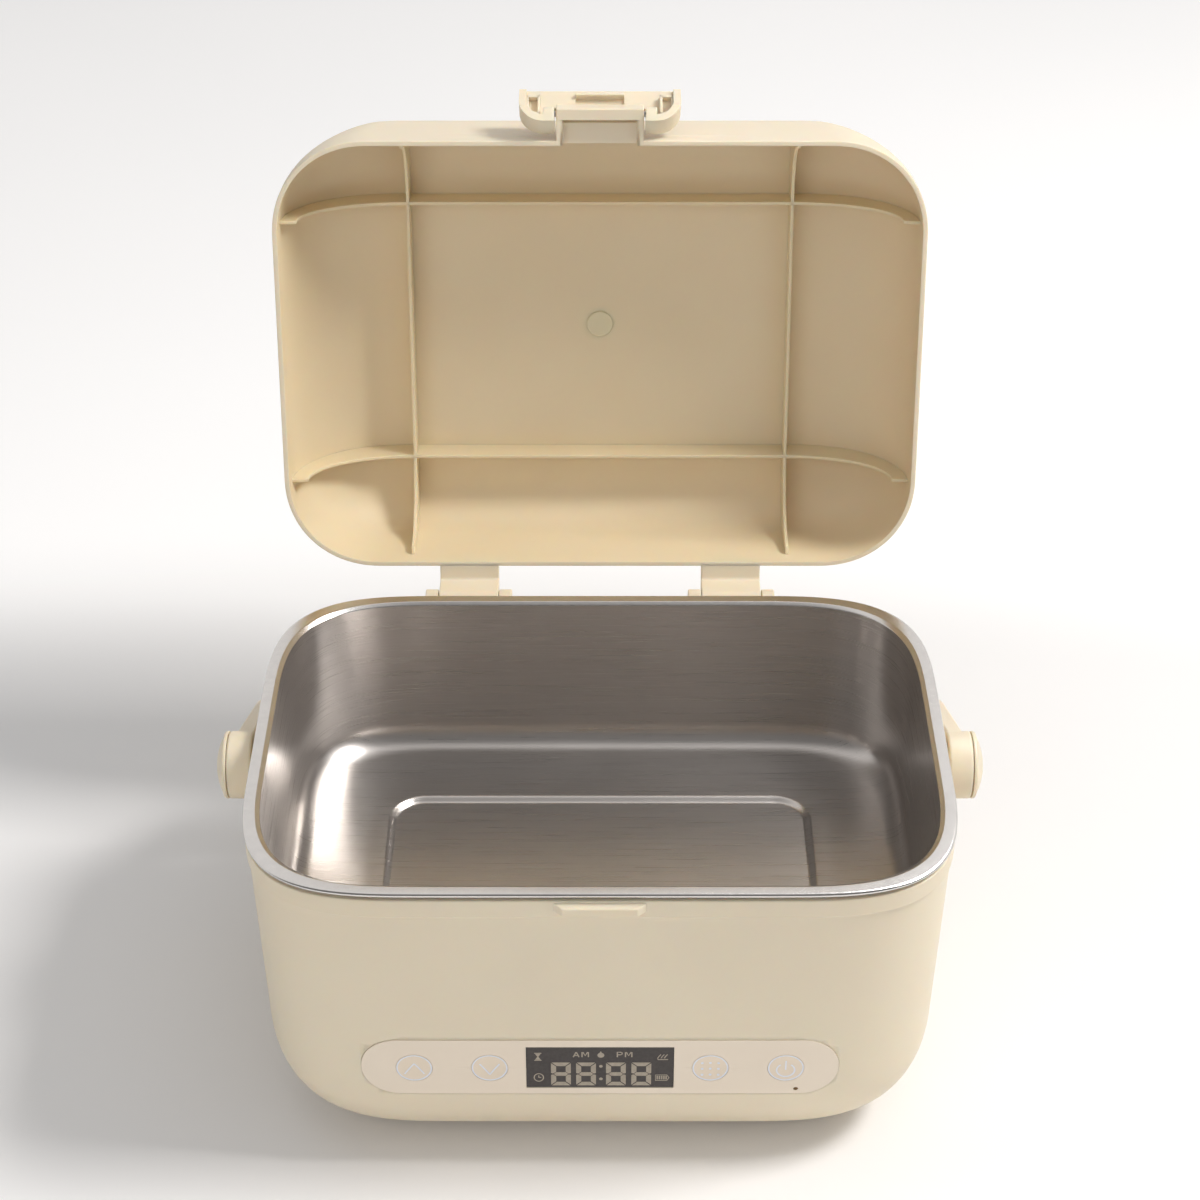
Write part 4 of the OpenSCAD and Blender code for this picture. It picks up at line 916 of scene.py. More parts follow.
@dataclass
class Lid:
    """Domed lid with its ribs, centre boss, hinge arms and latch bracket, modelled closed."""

    gap: float = 0.3
    wall: float = 1.8
    height: float = 45.0
    half_x: float = HALF_W - 2.2
    half_y: float = HALF_D - 4.5
    corner: float = 34.3
    power: float = 2.1
    side_round: float = 40.0
    front_round: float = 18.0
    rib: float = 1.2
    rib_top: float = 32.0
    rib_x: float = 69.9
    rib_y: float = 49.2
    boss: float = 9.8
    bracket: float = 30.6
    bracket_out: float = 11.5
    pin: PointYZ = (2.3, 1.8)
    leg_round: float = 1.3
    leg_wall: float = 2.3
    field: float = 1.2
    swell: tuple[float, float] = (0.05, 0.55)

    @property
    def mouth(self) -> float:
        """Height of the lid's edge when it is closed."""
        return RIM_Z + self.gap

    @property
    def ceiling_z(self) -> float:
        """Height of the lid's inner top face when it is closed."""
        return self.mouth + self.height - self.wall

    def open(self) -> Matrix:
        """Return the turn that opens the closed lid."""
        hinge = joint_place("lid_hinge")
        angle = math.radians(min(joint("lid_hinge")["range_deg"]))
        return Matrix.Translation(hinge) @ Matrix.Rotation(angle, 4, "X") @ Matrix.Translation(-hinge)

    def drawn_in(self, z: float, t: float) -> tuple[float, float]:
        """Return how far a wall offset inwards by t is drawn in at a height, at the sides and the front."""
        def draw(radius: float) -> float:
            """Return the draw of one rounding."""
            start = self.height - radius
            if z <= start:
                return 0.0
            reach = radius - t
            return reach - math.sqrt(max(0.0, reach * reach - (z - start) ** 2))
        return draw(self.side_round), draw(self.front_round)

    def ring(self, z: float, t: float, grow: float = 0.0) -> list[Vector]:
        """Return the lid's ring at a height above its mouth, offset inwards by t."""
        side, front = self.drawn_in(z, t)
        return superellipse_ring(self.half_x - t - side + grow, self.half_y - t - front + grow,
                                 self.corner - t - 0.18 * (side + front), self.power, self.mouth + z)

    def levels(self, top: float, steps: int = 22) -> list[float]:
        """Return heights that crowd towards the top, where the wall turns."""
        return [top * math.sin(math.pi / 2 * i / steps) for i in range(steps + 1)]

    def dome(self) -> Shape:
        """Build the lid's plain shell."""
        edge = 0.35
        outer = [self.ring(z, 0.0) for z in reversed(self.levels(self.height)) if z > edge]
        outer += [self.ring(edge, 0.0), self.ring(0.1, 0.0, -0.1), self.ring(0.0, 0.0, -edge)]
        inner = [self.ring(0.0, self.wall, edge), self.ring(0.1, self.wall, 0.1)]
        inner += [self.ring(z, self.wall) for z in self.levels(self.height - self.wall) if z > edge]
        return Shape().loft(outer + inner)

    def wall_reach(self, at: float, z: float, along_x: bool) -> float:
        """Return how far the inside reaches from the middle at a place on the other axis."""
        side, front = self.drawn_in(z, self.wall)
        r = self.corner - self.wall - 0.18 * (side + front)
        near, far = self.half_x - self.wall - side, self.half_y - self.wall - front
        if not along_x:
            near, far = far, near
        share = max(0.0, at - far + r) / r
        return near - r + r * max(0.0, 1 - share ** self.power) ** (1 / self.power)

    def rib_outline(self, cross: float, at: float, along_x: bool, foot: float) -> list[PointYZ]:
        """Return half a rib's outline as (distance from the middle, height above the mouth).

        Args:
            cross: Where the ribs cross.
            at: The rib's own place on the other axis.
            along_x: Whether the rib runs along X.
            foot: Width of the small step at the wall.

        Returns:
            Points from the middle of the free edge round to the middle of the top.
        """
        low = 7.0
        wall = self.wall_reach(at, low, along_x)
        edge = [(0.0, self.rib_top), (cross, self.rib_top)]
        for i in range(1, 13):
            turn = math.pi / 2 * i / 12
            edge.append((cross + (wall - foot - cross) * math.sin(turn),
                         low + 1.0 + (self.rib_top - low - 1.0) * math.cos(turn)))
        edge += [(wall - foot * 0.55, low + 0.1), (wall + 0.8, low)]
        top = self.height - self.wall
        for z in self.levels(top, 12):
            if z > low + 2:
                height = min(z + (0.8 if z == top else 0), top + 0.8)
                edge.append((self.wall_reach(at, z, along_x) + 0.8, height))
        return edge

    def ribs(self, shape: Shape) -> None:
        """Add the four crossing ribs."""
        for side in (-1, 1):
            for along_x, cross, at in ((True, self.rib_x, self.rib_y), (False, self.rib_y, self.rib_x)):
                half = self.rib_outline(cross, at, along_x, 6.0 if along_x else 3.0)
                outline = half + [(-a, b) for a, b in reversed(half)]
                outline = [(a, b + self.mouth) for a, b in outline if a or b == self.rib_top][1:]
                low = side * at - self.rib / 2
                shape.prism(outline, low, low + self.rib, "Y" if along_x else "X", 0.22, 2)

    def boss_on(self, shape: Shape) -> None:
        """Add the round boss in the middle of the ceiling."""
        r = self.boss / 2
        profile = [(0, -1.4), (r - 0.5, -1.4)] + [(r - 0.5 + 0.5 * math.sin(t), -0.9 - 0.5 * math.cos(t))
                                                  for t in (0.4, 0.8, 1.2, 1.57)]
        profile += [(r + 1.3 - 1.3 * math.cos(t), -0.6 + 0.9 * math.sin(t)) for t in (0.2, 0.6, 1.0, 1.4)]
        shape.spin(profile + [(0, 0.5)], Vector((0, 0, self.ceiling_z)), Vector((0, 0, 1)), 48)

    def ceiling(self) -> bpy.types.Object:
        """Return the field between the ribs that swells a little into the lid."""
        top, (low, high) = self.ceiling_z, self.swell
        part = bmesh.new()
        half_x, half_y = self.rib_x - 0.5, self.rib_y - 0.5
        corners = [part.verts.new((x * half_x, y * half_y, top - low))
                   for x, y in ((1, 1), (1, -1), (-1, -1), (-1, 1))]
        poked = bmesh.ops.poke(part, faces=[part.faces.new(corners)])
        poked["verts"][0].co.z = top - high
        swelling = Shape()
        swelling.thicken(part, self.field)
        return swelling.finish("lid_ceiling", Finish.SHELL)

    def bracket_outlines(self) -> tuple[list[PointYZ], list[PointYZ]]:
        """Return the side outlines of the latch bracket and of the hollow in it."""
        front = -(self.half_y + self.bracket_out)
        wall_in = -(self.half_y - self.wall / 2)
        m = self.mouth
        outer = ([(wall_in, m), (front + 0.6, m)] + arc((front + 0.6, m + 0.6), 0.6, 270, 180, 3)[1:]
                 + arc((front + 2.6, m + 5.6), 2.6, 180, 108, 5) + [(front + 8, m + 9.2), (wall_in, m + 9.8)])
        bar = front + 4.0
        hollow = [(wall_in + 3.2, m - 1), (bar, m - 1), (bar, m + 5.4), (bar + 0.6, m + 6.0),
                  (bar + 1.9, m + 6.0), (bar + 1.9, m + 4.4), (wall_in + 3.2, m + 4.4)]
        return outer, hollow

    def build(self) -> bpy.types.Object:
        """Build the lid and its fittings, opened."""
        hinge = joint_place("lid_hinge")
        sizes = Hinge()
        outer, hollow = self.bracket_outlines()
        half = self.bracket / 2
        inner = half - self.leg_wall
        opened = self.open()
        shell = self.dome().finish("lid_dome", Finish.SHELL)
        block = Shape().prism(outer, -half, half, "X", 0.5, 3).finish("lid_bracket", Finish.SHELL)
        carve(shell, block, "UNION")
        carve(shell, self.ceiling(), "UNION")
        carve(shell, Shape().prism(hollow, -inner, inner, "X", 0.5, 3).finish("hollow", Finish.SHELL))
        for side in (-1, 1):
            carve(shell, self.leg_cutter(side, inner, hollow[1][0], hollow[0][0] + 4))
        whole = Shape.taken_from(shell)
        self.ribs(whole)
        self.boss_on(whole)
        for side in (-1, 1):
            outline = sizes.arm_outline(hinge, self.mouth, self.half_y - self.wall / 2)
            middle, reach = side * sizes.place, sizes.arm / 2
            whole.prism(outline, middle - reach, middle + reach, "X", 0.35, 3)
        # Faces inside the lid's inner face take the second slot, the cream with painted shade.
        within = [self.encloses(face.calc_center_median()) for face in whole.bm.faces]
        piece = whole.turn(opened).finish("lid_skin", Finish.SHELL, 40.0)
        piece.data.materials.append(Finish.INNER.material())
        for face, inner in zip(piece.data.polygons, within):
            face.material_index = int(inner)
        return piece

    def leg_cutter(self, side: int, reach: float, low: float, high: float) -> bpy.types.Object:
        """Return the cutter that rounds the corner between a bracket leg and the lid's edge.

        Args:
            side: -1 or 1.
            reach: Distance of the leg's inner face from the middle.
            low: Where the corner starts along Y.
            high: Where it ends.
        """
        r = self.leg_round
        outline = ([(reach - 0.2, self.mouth - 1), (reach + r, self.mouth - 1)]
                   + arc((reach + r, self.mouth + r), r, 270, 180, 6) + [(reach - 0.2, self.mouth + r)])
        turned = [(side * x, z) for x, z in outline]
        return Shape().prism(turned, low, high, "Y").finish("leg_cutter", Finish.SHELL)

    def encloses(self, point: Vector) -> bool:
        """Return whether a point lies within the closed lid's inner face."""
        z, slack = point.z - self.mouth, 0.25
        if not 0.3 < z < self.height - self.wall + slack:
            return False
        side, front = self.drawn_in(z, 0.0)
        r = self.corner - self.wall - 0.18 * (side + front)
        across = max(0.0, abs(point.x) - (self.half_x - side - self.wall + slack - r)) / r
        along = max(0.0, abs(point.y) - (self.half_y - front - self.wall + slack - r)) / r
        return across ** self.power + along ** self.power < 1


# ---------------------------------------------------------------- latch


@dataclass
class Latch:
    """Snap latch on the lid's bracket, modelled upright about its pin with Y towards the box."""

    width: float = 56.4
    up: float = 4.4
    low: float = -11.4
    face: float = -6.0
    plate: float = 2.2
    deep: float = 9.0
    shallow: float = 3.6
    rim: float = 2.6
    corner: float = 8.5
    lean: float = 20.0
    notch: PointYZ = (15.85, -4.4)
    lug: tuple[float, float, float] = (15.95, 19.8, 2.3)
    cell: tuple[float, float, float] = (5.0, -8.6, -0.8)
    cell_wall: float = 1.0
    cell_deep: float = 2.4
    hook: tuple[float, float, float] = (8.5, 1.9, 1.1)
    pocket: tuple[float, float, float] = (-8.8, -4.6, 1.2)

    @property
    def inside(self) -> float:
        """Place of the plate's inner face."""
        return self.face + self.plate

    def outline(self, shrink: float, low: float) -> list[PointYZ]:
        """Return the front outline, drawn in by a distance, from a lower end up to the round corners."""
        half, r, top = self.width / 2 - shrink, self.corner - shrink, self.up - shrink
        return ([(-half, low), (half, low)] + arc((half - r, top - r), r, 0, 90, 16)
                + arc((r - half, top - r), r, 90, 180, 16))

    def cut(self, piece: bpy.types.Object, outline: Sequence[PointYZ], low: float, high: float, axis: str,
            operation: str = "DIFFERENCE", edge: float = 0.0) -> None:
        """Carve the piece with an outline drawn out along an axis."""
        cutter = Shape().prism(outline, low, high, axis, edge).finish("latch_cutter", Finish.SHELL)
        carve(piece, cutter, operation)

    def add_cells(self, shape: Shape) -> None:
        """Add the small open boxes that stiffen the plate's sides."""
        width, low, high = self.cell
        for side in (-1, 1):
            middle = side * (self.width / 2 - self.rim - width / 2 + 0.2)
            x0, x1 = middle - width / 2, middle + width / 2
            w, y0, y1 = self.cell_wall, self.inside - 0.3, self.inside + self.cell_deep
            for box in ((x0, low, x0 + w, high), (x1 - w, low, x1, high), (x0, low, x1, low + w),
                        (x0, high - w, x1, high)):
                shape.prism(rect(*box), y0, y1, "Y", 0.2)

    def add_lugs(self, shape: Shape) -> None:
        """Add the two lugs that the pin runs in."""
        near, far, r = self.lug
        outline = ([(self.inside - 0.3, -r), (0, -r)] + arc((0, 0), r, -90, 0, 8)[1:]
                   + [(r, self.up - 0.6), (self.inside - 0.3, self.up - 0.6)])
        for side in (-1, 1):
            shape.prism(outline, min(side * near, side * far), max(side * near, side * far), "X", 0.25)

    def add_hook(self, shape: Shape) -> None:
        """Add the rounded ledge that catches under the body."""
        half, reach, thick = self.hook
        top = self.pocket[0]
        low = top - thick - 0.5
        root, tip = self.inside - 0.3, self.inside + reach
        outline = [(root, top), (tip - 0.3, top + 0.1), (tip, top - 0.3), (tip - 0.4, top - thick), (root, low)]
        shape.prism(outline, -half, half, "X", 0.3, 3)

    def build(self, lid: Lid) -> bpy.types.Object:
        """Build the latch, swung open on the opened lid."""
        piece = Shape().prism(self.outline(0.0, self.low), self.face, self.face + self.deep, "Y").finish(
            "latch_skin", Finish.SHELL)
        side = [(self.face, self.low), (self.face + self.shallow, self.low), (self.face + self.deep, -1.6),
                (self.face + self.deep, self.up), (self.face, self.up)]
        self.cut(piece, side, -self.width, self.width, "X", "INTERSECT")
        self.cut(piece, self.outline(self.rim, self.low - 1), self.inside, self.face + self.deep + 1, "Y")
        half, low = self.notch
        self.cut(piece, rect(-half, low, half, self.up + 1), self.face - 1, self.face + self.deep + 1, "Y")
        low, high, deep = self.pocket
        half = self.hook[0]
        self.cut(piece, rect(-half, low, half, high), self.inside - deep, self.inside + 1, "Y")
        shape = Shape.taken_from(piece)
        round_edges(shape.bm, 0.35, 3)
        self.add_cells(shape)
        self.add_lugs(shape)
        self.add_hook(shape)
        swing = math.radians(min(joint("latch_hinge")["range_deg"]))
        pin = Matrix.Translation((0, lid.pin[0] - lid.half_y - lid.bracket_out, lid.mouth + lid.pin[1]))
        turned = Matrix.Rotation(swing, 4, "X") @ Matrix.Rotation(math.radians(self.lean), 4, "X")
        return shape.turn(lid.open() @ pin @ turned).finish("latch_skin", Finish.SHELL, 40.0)


# ---------------------------------------------------------------- control panel


@dataclass
class ControlPanel:
    """Pill-shaped panel with its keys, printed signs and display."""

    width: float = 159.0
    height: float = 25.3
    middle: float = 47.5
    proud: float = 0.2
    seat: float = 1.2
    window: tuple[float, float] = (49.0, 19.0)
    key: float = 12.2
    gap: float = 0.06
    keys: dict[str, float] = field(default_factory=lambda: {
        "button_up": -61.8, "button_down": -36.7, "button_menu": 36.7, "button_power": 61.8})
    line: float = 0.5
    lift: float = 0.03
    ink: float = 0.02
    sunk: float = 0.1
    fine: float = 0.34
    foot_gap: float = 0.25
    digits: tuple[float, ...] = (-13.0, -4.65, 5.3, 13.75)
    digit_z: float = -2.95
    digit_size: tuple[float, float] = (6.6, 10.9)
    digit_bar: float = 1.7
    digit_cut: float = 0.22
    letter_z: float = 6.2
    letter_line: float = 0.44
    hole: tuple[float, float] = (65.5, -10.2)

    @property
    def tilt(self) -> float:
        """Slope of the panel's face, in radians."""
        body, half = Body(), self.window[1] / 2
        rise = body.wall_inset(self.middle - half) - body.wall_inset(self.middle + half)
        return math.atan(rise / self.window[1])

    def frame(self) -> Matrix:
        """Return the matrix from the face's own plane, x right and z up, to the row frame."""
        face = HALF_D - Body().wall_inset(self.middle) + self.proud
        return Matrix.Translation((0, -face, self.middle)) @ Matrix.Rotation(self.tilt, 4, "X")

    def pill(self, grow: float) -> list[PointYZ]:
        """Return the panel's outline in the X-Z plane, grown by a distance."""
        r = self.height / 2
        reach = self.width / 2 - r
        right = arc((reach, self.middle), r + grow, -90, 90, 32)
        left = arc((-reach, self.middle), r + grow, 90, 270, 32)
        return right + left

    def plate(self) -> bpy.types.Object:
        """Build the panel's plate, which follows the shell's curve."""
        body = Body()
        levels = [self.middle + 18 - 1.5 * i for i in range(25)]
        out = [rim_ring(body.wall_inset(z) - self.proud, z) for z in levels]
        back = [rim_ring(body.wall_inset(z) + self.seat, z) for z in reversed(levels)]
        plate = Shape().loft(out + back, closed=True).finish("panel_plate", Finish.PANEL)
        pill = Shape().prism(self.pill(0.0), -HALF_D - 5, -HALF_D + 26, "Y").finish("pill", Finish.PANEL)
        carve(plate, pill, "INTERSECT")
        cuts = Shape()
        half_x, half_z = self.window[0] / 2 + 0.1, self.window[1] / 2 + 0.1
        cuts.prism(rect(-half_x, -half_z, half_x, half_z), -3, 4, "Y")
        for place in self.keys.values():
            cuts.bar(Vector((place, -3, 0)), Vector((place, 4, 0)), self.key + 2 * self.gap, 0.0, 64)
        x, z = self.hole
        cuts.bar(Vector((x, -3, z)), Vector((x, 4, z)), 1.7, 0.0, 32)
        carve(plate, cuts.turn(self.frame()).finish("cuts", Finish.PANEL))
        shape = Shape.taken_from(plate)
        round_edges(shape.bm, 0.08, 2, 50)
        return shape.finish("panel_plate", Finish.PANEL, 40.0)

    def key_cap(self, name: str) -> bpy.types.Object:
        """Build one dished key."""
        r = self.key / 2
        dish = [(r * 0.93 * i / 10, 0.45 * ((i / 10) ** 2 - 1)) for i in range(11)]
        rim = [(r - 0.22, 0.0), (r - 0.06, -0.06), (r, -0.22), (r, -2.0), (0, -2.0)]
        shape = Shape().spin(dish + rim, Vector((self.keys[name], 0, 0)), Vector((0, -1, 0)), 64)
        shape.bar(Vector((self.keys[name], 1.8, 0)), Vector((self.keys[name], 4.8, 0)), 4.0)
        return shape.turn(self.frame()).finish(f"{name}_cap", Finish.KEY)

    def stroke(self, shape: Shape, points: Sequence[PointYZ], width: float,
               dish: Callable[[float, float], float], closed: bool = False) -> None:
        """Add a printed line through points on the face.

        Args:
            shape: Where it is added.
            points: Points (x, z) from the middle of the sign.
            width: Line width.
            dish: How deep the face lies at a point.
            closed: Whether the line comes round to its start.
        """
        count = len(points)
        part = bmesh.new()
        left, right = [], []
        for i, (x, z) in enumerate(points):
            before = points[(i - 1) % count] if closed or i else points[i]
            after = points[(i + 1) % count] if closed or i < count - 1 else points[i]
            way = Vector((after[0] - before[0], after[1] - before[1])).normalized()
            side = Vector((-way.y, way.x)) * width / 2
            for rail, sign in ((left, 1), (right, -1)):
                px, pz = x + sign * side.x, z + sign * side.y
                rail.append(part.verts.new((px, dish(px, pz) - self.lift, pz)))
        for i in range(count if closed else count - 1):
            j = (i + 1) % count
            part.faces.new((left[i], left[j], right[j], right[i]))
        shape.thicken(part, self.ink)

    def behind_glass(self, x: float, z: float) -> float:
        """Return how deep the display's lit parts lie, the same at every point."""
        return self.sunk

    def dish_depth(self, x: float, z: float) -> float:
        """Return how deep a key's face lies at a distance from its middle."""
        share = min(1.0, math.hypot(x, z) / (self.key / 2 * 0.93))
        return 0.45 * (1 - share * share)

    def signs(self, name: str) -> bpy.types.Object:
        """Build the printed ring and sign on a key."""
        shape = Shape()
        r = self.key / 2 - self.line / 2 - 0.12
        ring = [(r * math.cos(math.tau * i / 64), r * math.sin(math.tau * i / 64)) for i in range(64)]
        self.stroke(shape, ring, self.line, self.dish_depth, True)
        if name == "button_menu":
            for column in (-2.7, 0.0, 2.7):
                for row in (2.0, -0.75, -3.4):
                    turns = [math.tau * i / 16 for i in range(16)]
                    dot = [(column + 0.25 * math.cos(t), row + 0.25 * math.sin(t)) for t in turns]
                    self.stroke(shape, dot, 0.48, self.dish_depth, True)
        elif name == "button_power":
            bow = [(3.0 * math.cos(math.radians(a)), -1.3 + 2.9 * math.sin(math.radians(a)))
                   for a in range(125, 416, 10)]
            self.stroke(shape, bow, self.line, self.dish_depth)
            bar = [(0, z) for z in (3.0, 2.0, 1.0, 0.0, -1.3)]
            self.stroke(shape, bar, self.line, self.dish_depth)
        else:
            up = 1 if name == "button_up" else -1
            tip, end = (1.6, -3.0) if up > 0 else (-3.4, 1.6)
            steps = [i / 5 for i in range(6)]
            for side in (-1, 1):
                self.stroke(shape, [(side * 3.3 * s, tip + (end - tip) * s) for s in steps], self.line,
                            self.dish_depth)
        move = Matrix.Translation((self.keys[name], 0, 0))
        return shape.turn(self.frame() @ move).finish(f"{name}_print", Finish.PRINT)

    def glass(self) -> bpy.types.Object:
        """Build the smoked window with a fine bevel."""
        half_x, half_z = self.window[0] / 2, self.window[1] / 2
        outline = rect(-half_x, self.foot_gap - half_z, half_x, half_z)
        shape = Shape().prism(outline, self.sunk, 1.7, "Y", 0.15, 2)
        return shape.turn(self.frame()).finish("display_glass", Finish.WINDOW)

    def sound_hole(self) -> bpy.types.Object:
        """Build a tan-brown disc behind the sound hole, painted shade for the dark inside of the hole."""
        x, z = self.hole
        shape = Shape().bar(Vector((x, 0.35, z)), Vector((x, 0.95, z)), 1.68, 0.1, 32)
        return shape.turn(self.frame()).finish("sound_hole_shade_disc", Finish.HOLE)

    def flat(self, shape: Shape, outline: Sequence[PointYZ]) -> None:
        """Add a thin lit area of the display."""
        part = bmesh.new()
        part.faces.new([part.verts.new((x, self.sunk - self.lift, z)) for x, z in outline])
        shape.thicken(part, self.ink)

    def digit(self, shape: Shape, x: float, z: float) -> None:
        """Add one seven-part digit with all its parts shown."""
        (w, h), t, cut = self.digit_size, self.digit_bar, self.digit_cut
        for level, kind in ((h / 2, 1), (0, 0), (-h / 2, -1)):
            if kind:
                inner = level - kind * t
                self.flat(shape, [(x - w / 2 + cut, z + level), (x + w / 2 - cut, z + level),
                                  (x + w / 2 - t - cut, z + inner), (x - w / 2 + t + cut, z + inner)])
            else:
                self.flat(shape, [(x - w / 2 + 0.9, z), (x - w / 2 + t, z + t / 2),
                                  (x + w / 2 - t, z + t / 2), (x + w / 2 - 0.9, z),
                                  (x + w / 2 - t, z - t / 2), (x - w / 2 + t, z - t / 2)])
        for side in (-1, 1):
            for half in (-1, 1):
                out, near = side * w / 2, side * (w / 2 - t)
                self.flat(shape, [(x + out, z + half * (h / 2 - 0.35)), (x + out, z + half * 0.45),
                                  (x + side * (w / 2 - 0.7), z + half * 0.2),
                                  (x + near, z + half * (t / 2 + 0.25)),
                                  (x + near, z + half * (h / 2 - t - 0.25))])

    def display(self) -> bpy.types.Object:
        """Build the lit parts of the display: digits and small signs."""
        shape = Shape()
        for x in self.digits:
            self.digit(shape, x, self.digit_z)
        for z in (0.7, -5.3):
            self.flat(shape, arc((0.3, z), 0.62, 0, 337.5, 15))
        self.hourglass(shape, -20.6, 5.2)
        self.clock(shape, -20.4, -4.6)
        self.flame(shape, 0.3, 6.2)
        self.heat(shape, 21.0, 5.0)
        self.battery(shape, 20.6, -4.7)
        self.letters(shape)
        return shape.turn(self.frame()).finish("display_segments", Finish.SEGMENT)

    def hourglass(self, shape: Shape, x: float, z: float) -> None:
        """Add the timer's sign."""
        for end in (-1, 1):
            self.flat(shape, rect(x - 1.2, z + end * 1.85, x + 1.2, z + end * 1.5))
            foot = z + end * 1.4
            self.flat(shape, [(x - 0.95, foot), (x + 0.95, foot), (x + 0.15, z), (x - 0.15, z)])

    def clock(self, shape: Shape, x: float, z: float) -> None:
        """Add the clock's sign."""
        turns = [math.tau * i / 24 for i in range(24)]
        ring = [(x + 1.55 * math.cos(t), z + 1.8 * math.sin(t)) for t in turns]
        self.stroke(shape, ring, 0.36, self.behind_glass, True)
        self.stroke(shape, [(x, z + 0.95), (x, z - 0.1)], self.fine, self.behind_glass)
        self.stroke(shape, [(x - 0.1, z), (x + 0.8, z)], self.fine, self.behind_glass)

    def flame(self, shape: Shape, x: float, z: float) -> None:
        """Add the heating sign, a drop with a pointed top."""
        tip = [(x + 0.25, z + 0.9), (x, z + 1.6), (x - 0.45, z + 0.8)]
        self.flat(shape, arc((x, z - 0.3), 1.15, 140, 400, 14) + tip)

    def heat(self, shape: Shape, x: float, z: float) -> None:
        """Add the warm-plate sign: slanting wisps over a line."""
        for i in (-1, 0, 1):
            foot = x + i * 1.1 - 0.4
            self.stroke(shape, [(foot - 0.35, z - 0.5), (foot, z + 0.3), (foot + 0.7, z + 1.3)], self.fine,
                        self.behind_glass)
        self.stroke(shape, [(x - 1.8, z - 0.2), (x - 1.8, z - 1.1), (x + 1.6, z - 1.1)], 0.4, self.behind_glass)

    def battery(self, shape: Shape, x: float, z: float) -> None:
        """Add the battery's sign with its bars."""
        frame_line = [(x - 2.1, z - 1.3), (x + 1.7, z - 1.3), (x + 2.4, z), (x + 1.7, z + 1.3),
                      (x - 2.1, z + 1.3)]
        self.stroke(shape, frame_line, self.fine, self.behind_glass, True)
        for i in range(5):
            left = x - 1.75 + i * 0.74
            self.flat(shape, rect(left, z - 0.85, left + 0.5, z + 0.85))

    def letters(self, shape: Shape) -> None:
        """Add the clock's two half-day marks, drawn with plain strokes."""
        strokes = {"A": [[(-0.95, -1.15), (-0.05, 1.15), (0.05, 1.15), (0.95, -1.15)],
                         [(-0.55, -0.4), (0.55, -0.4)]],
                   "P": [[(-0.75, -1.15), (-0.75, 1.15), (0.3, 1.15), (0.85, 0.85), (0.85, 0.3), (0.3, -0.05),
                          (-0.6, -0.05)]],
                   "M": [[(-1.05, -1.15), (-1.05, 1.15), (-0.75, 1.1), (0, -0.5), (0.75, 1.1), (1.05, 1.15),
                          (1.05, -1.15)]]}
        for letter, x in (("A", -7.9), ("M", -4.9), ("P", 6.5), ("M", 9.5)):
            for points in strokes[letter]:
                placed = [(x + px, self.letter_z + pz) for px, pz in points]
                self.stroke(shape, placed, self.letter_line, self.behind_glass)


# ---------------------------------------------------------------- stage


def backdrop_rays(tree: bpy.types.NodeTree) -> bpy.types.NodeSocket:
    """Return 1 for the rays that see the background: from the camera, off gloss and through glass."""
    path = tree.nodes.new("ShaderNodeLightPath")
    seen = path.outputs["Is Camera Ray"]
    for ray in ("Is Glossy Ray", "Is Transmission Ray"):
        most = tree.nodes.new("ShaderNodeMath")
        most.operation = "MAXIMUM"
        tree.links.new(seen, most.inputs[0])
        tree.links.new(path.outputs[ray], most.inputs[1])
        seen = most.outputs[0]
    return seen


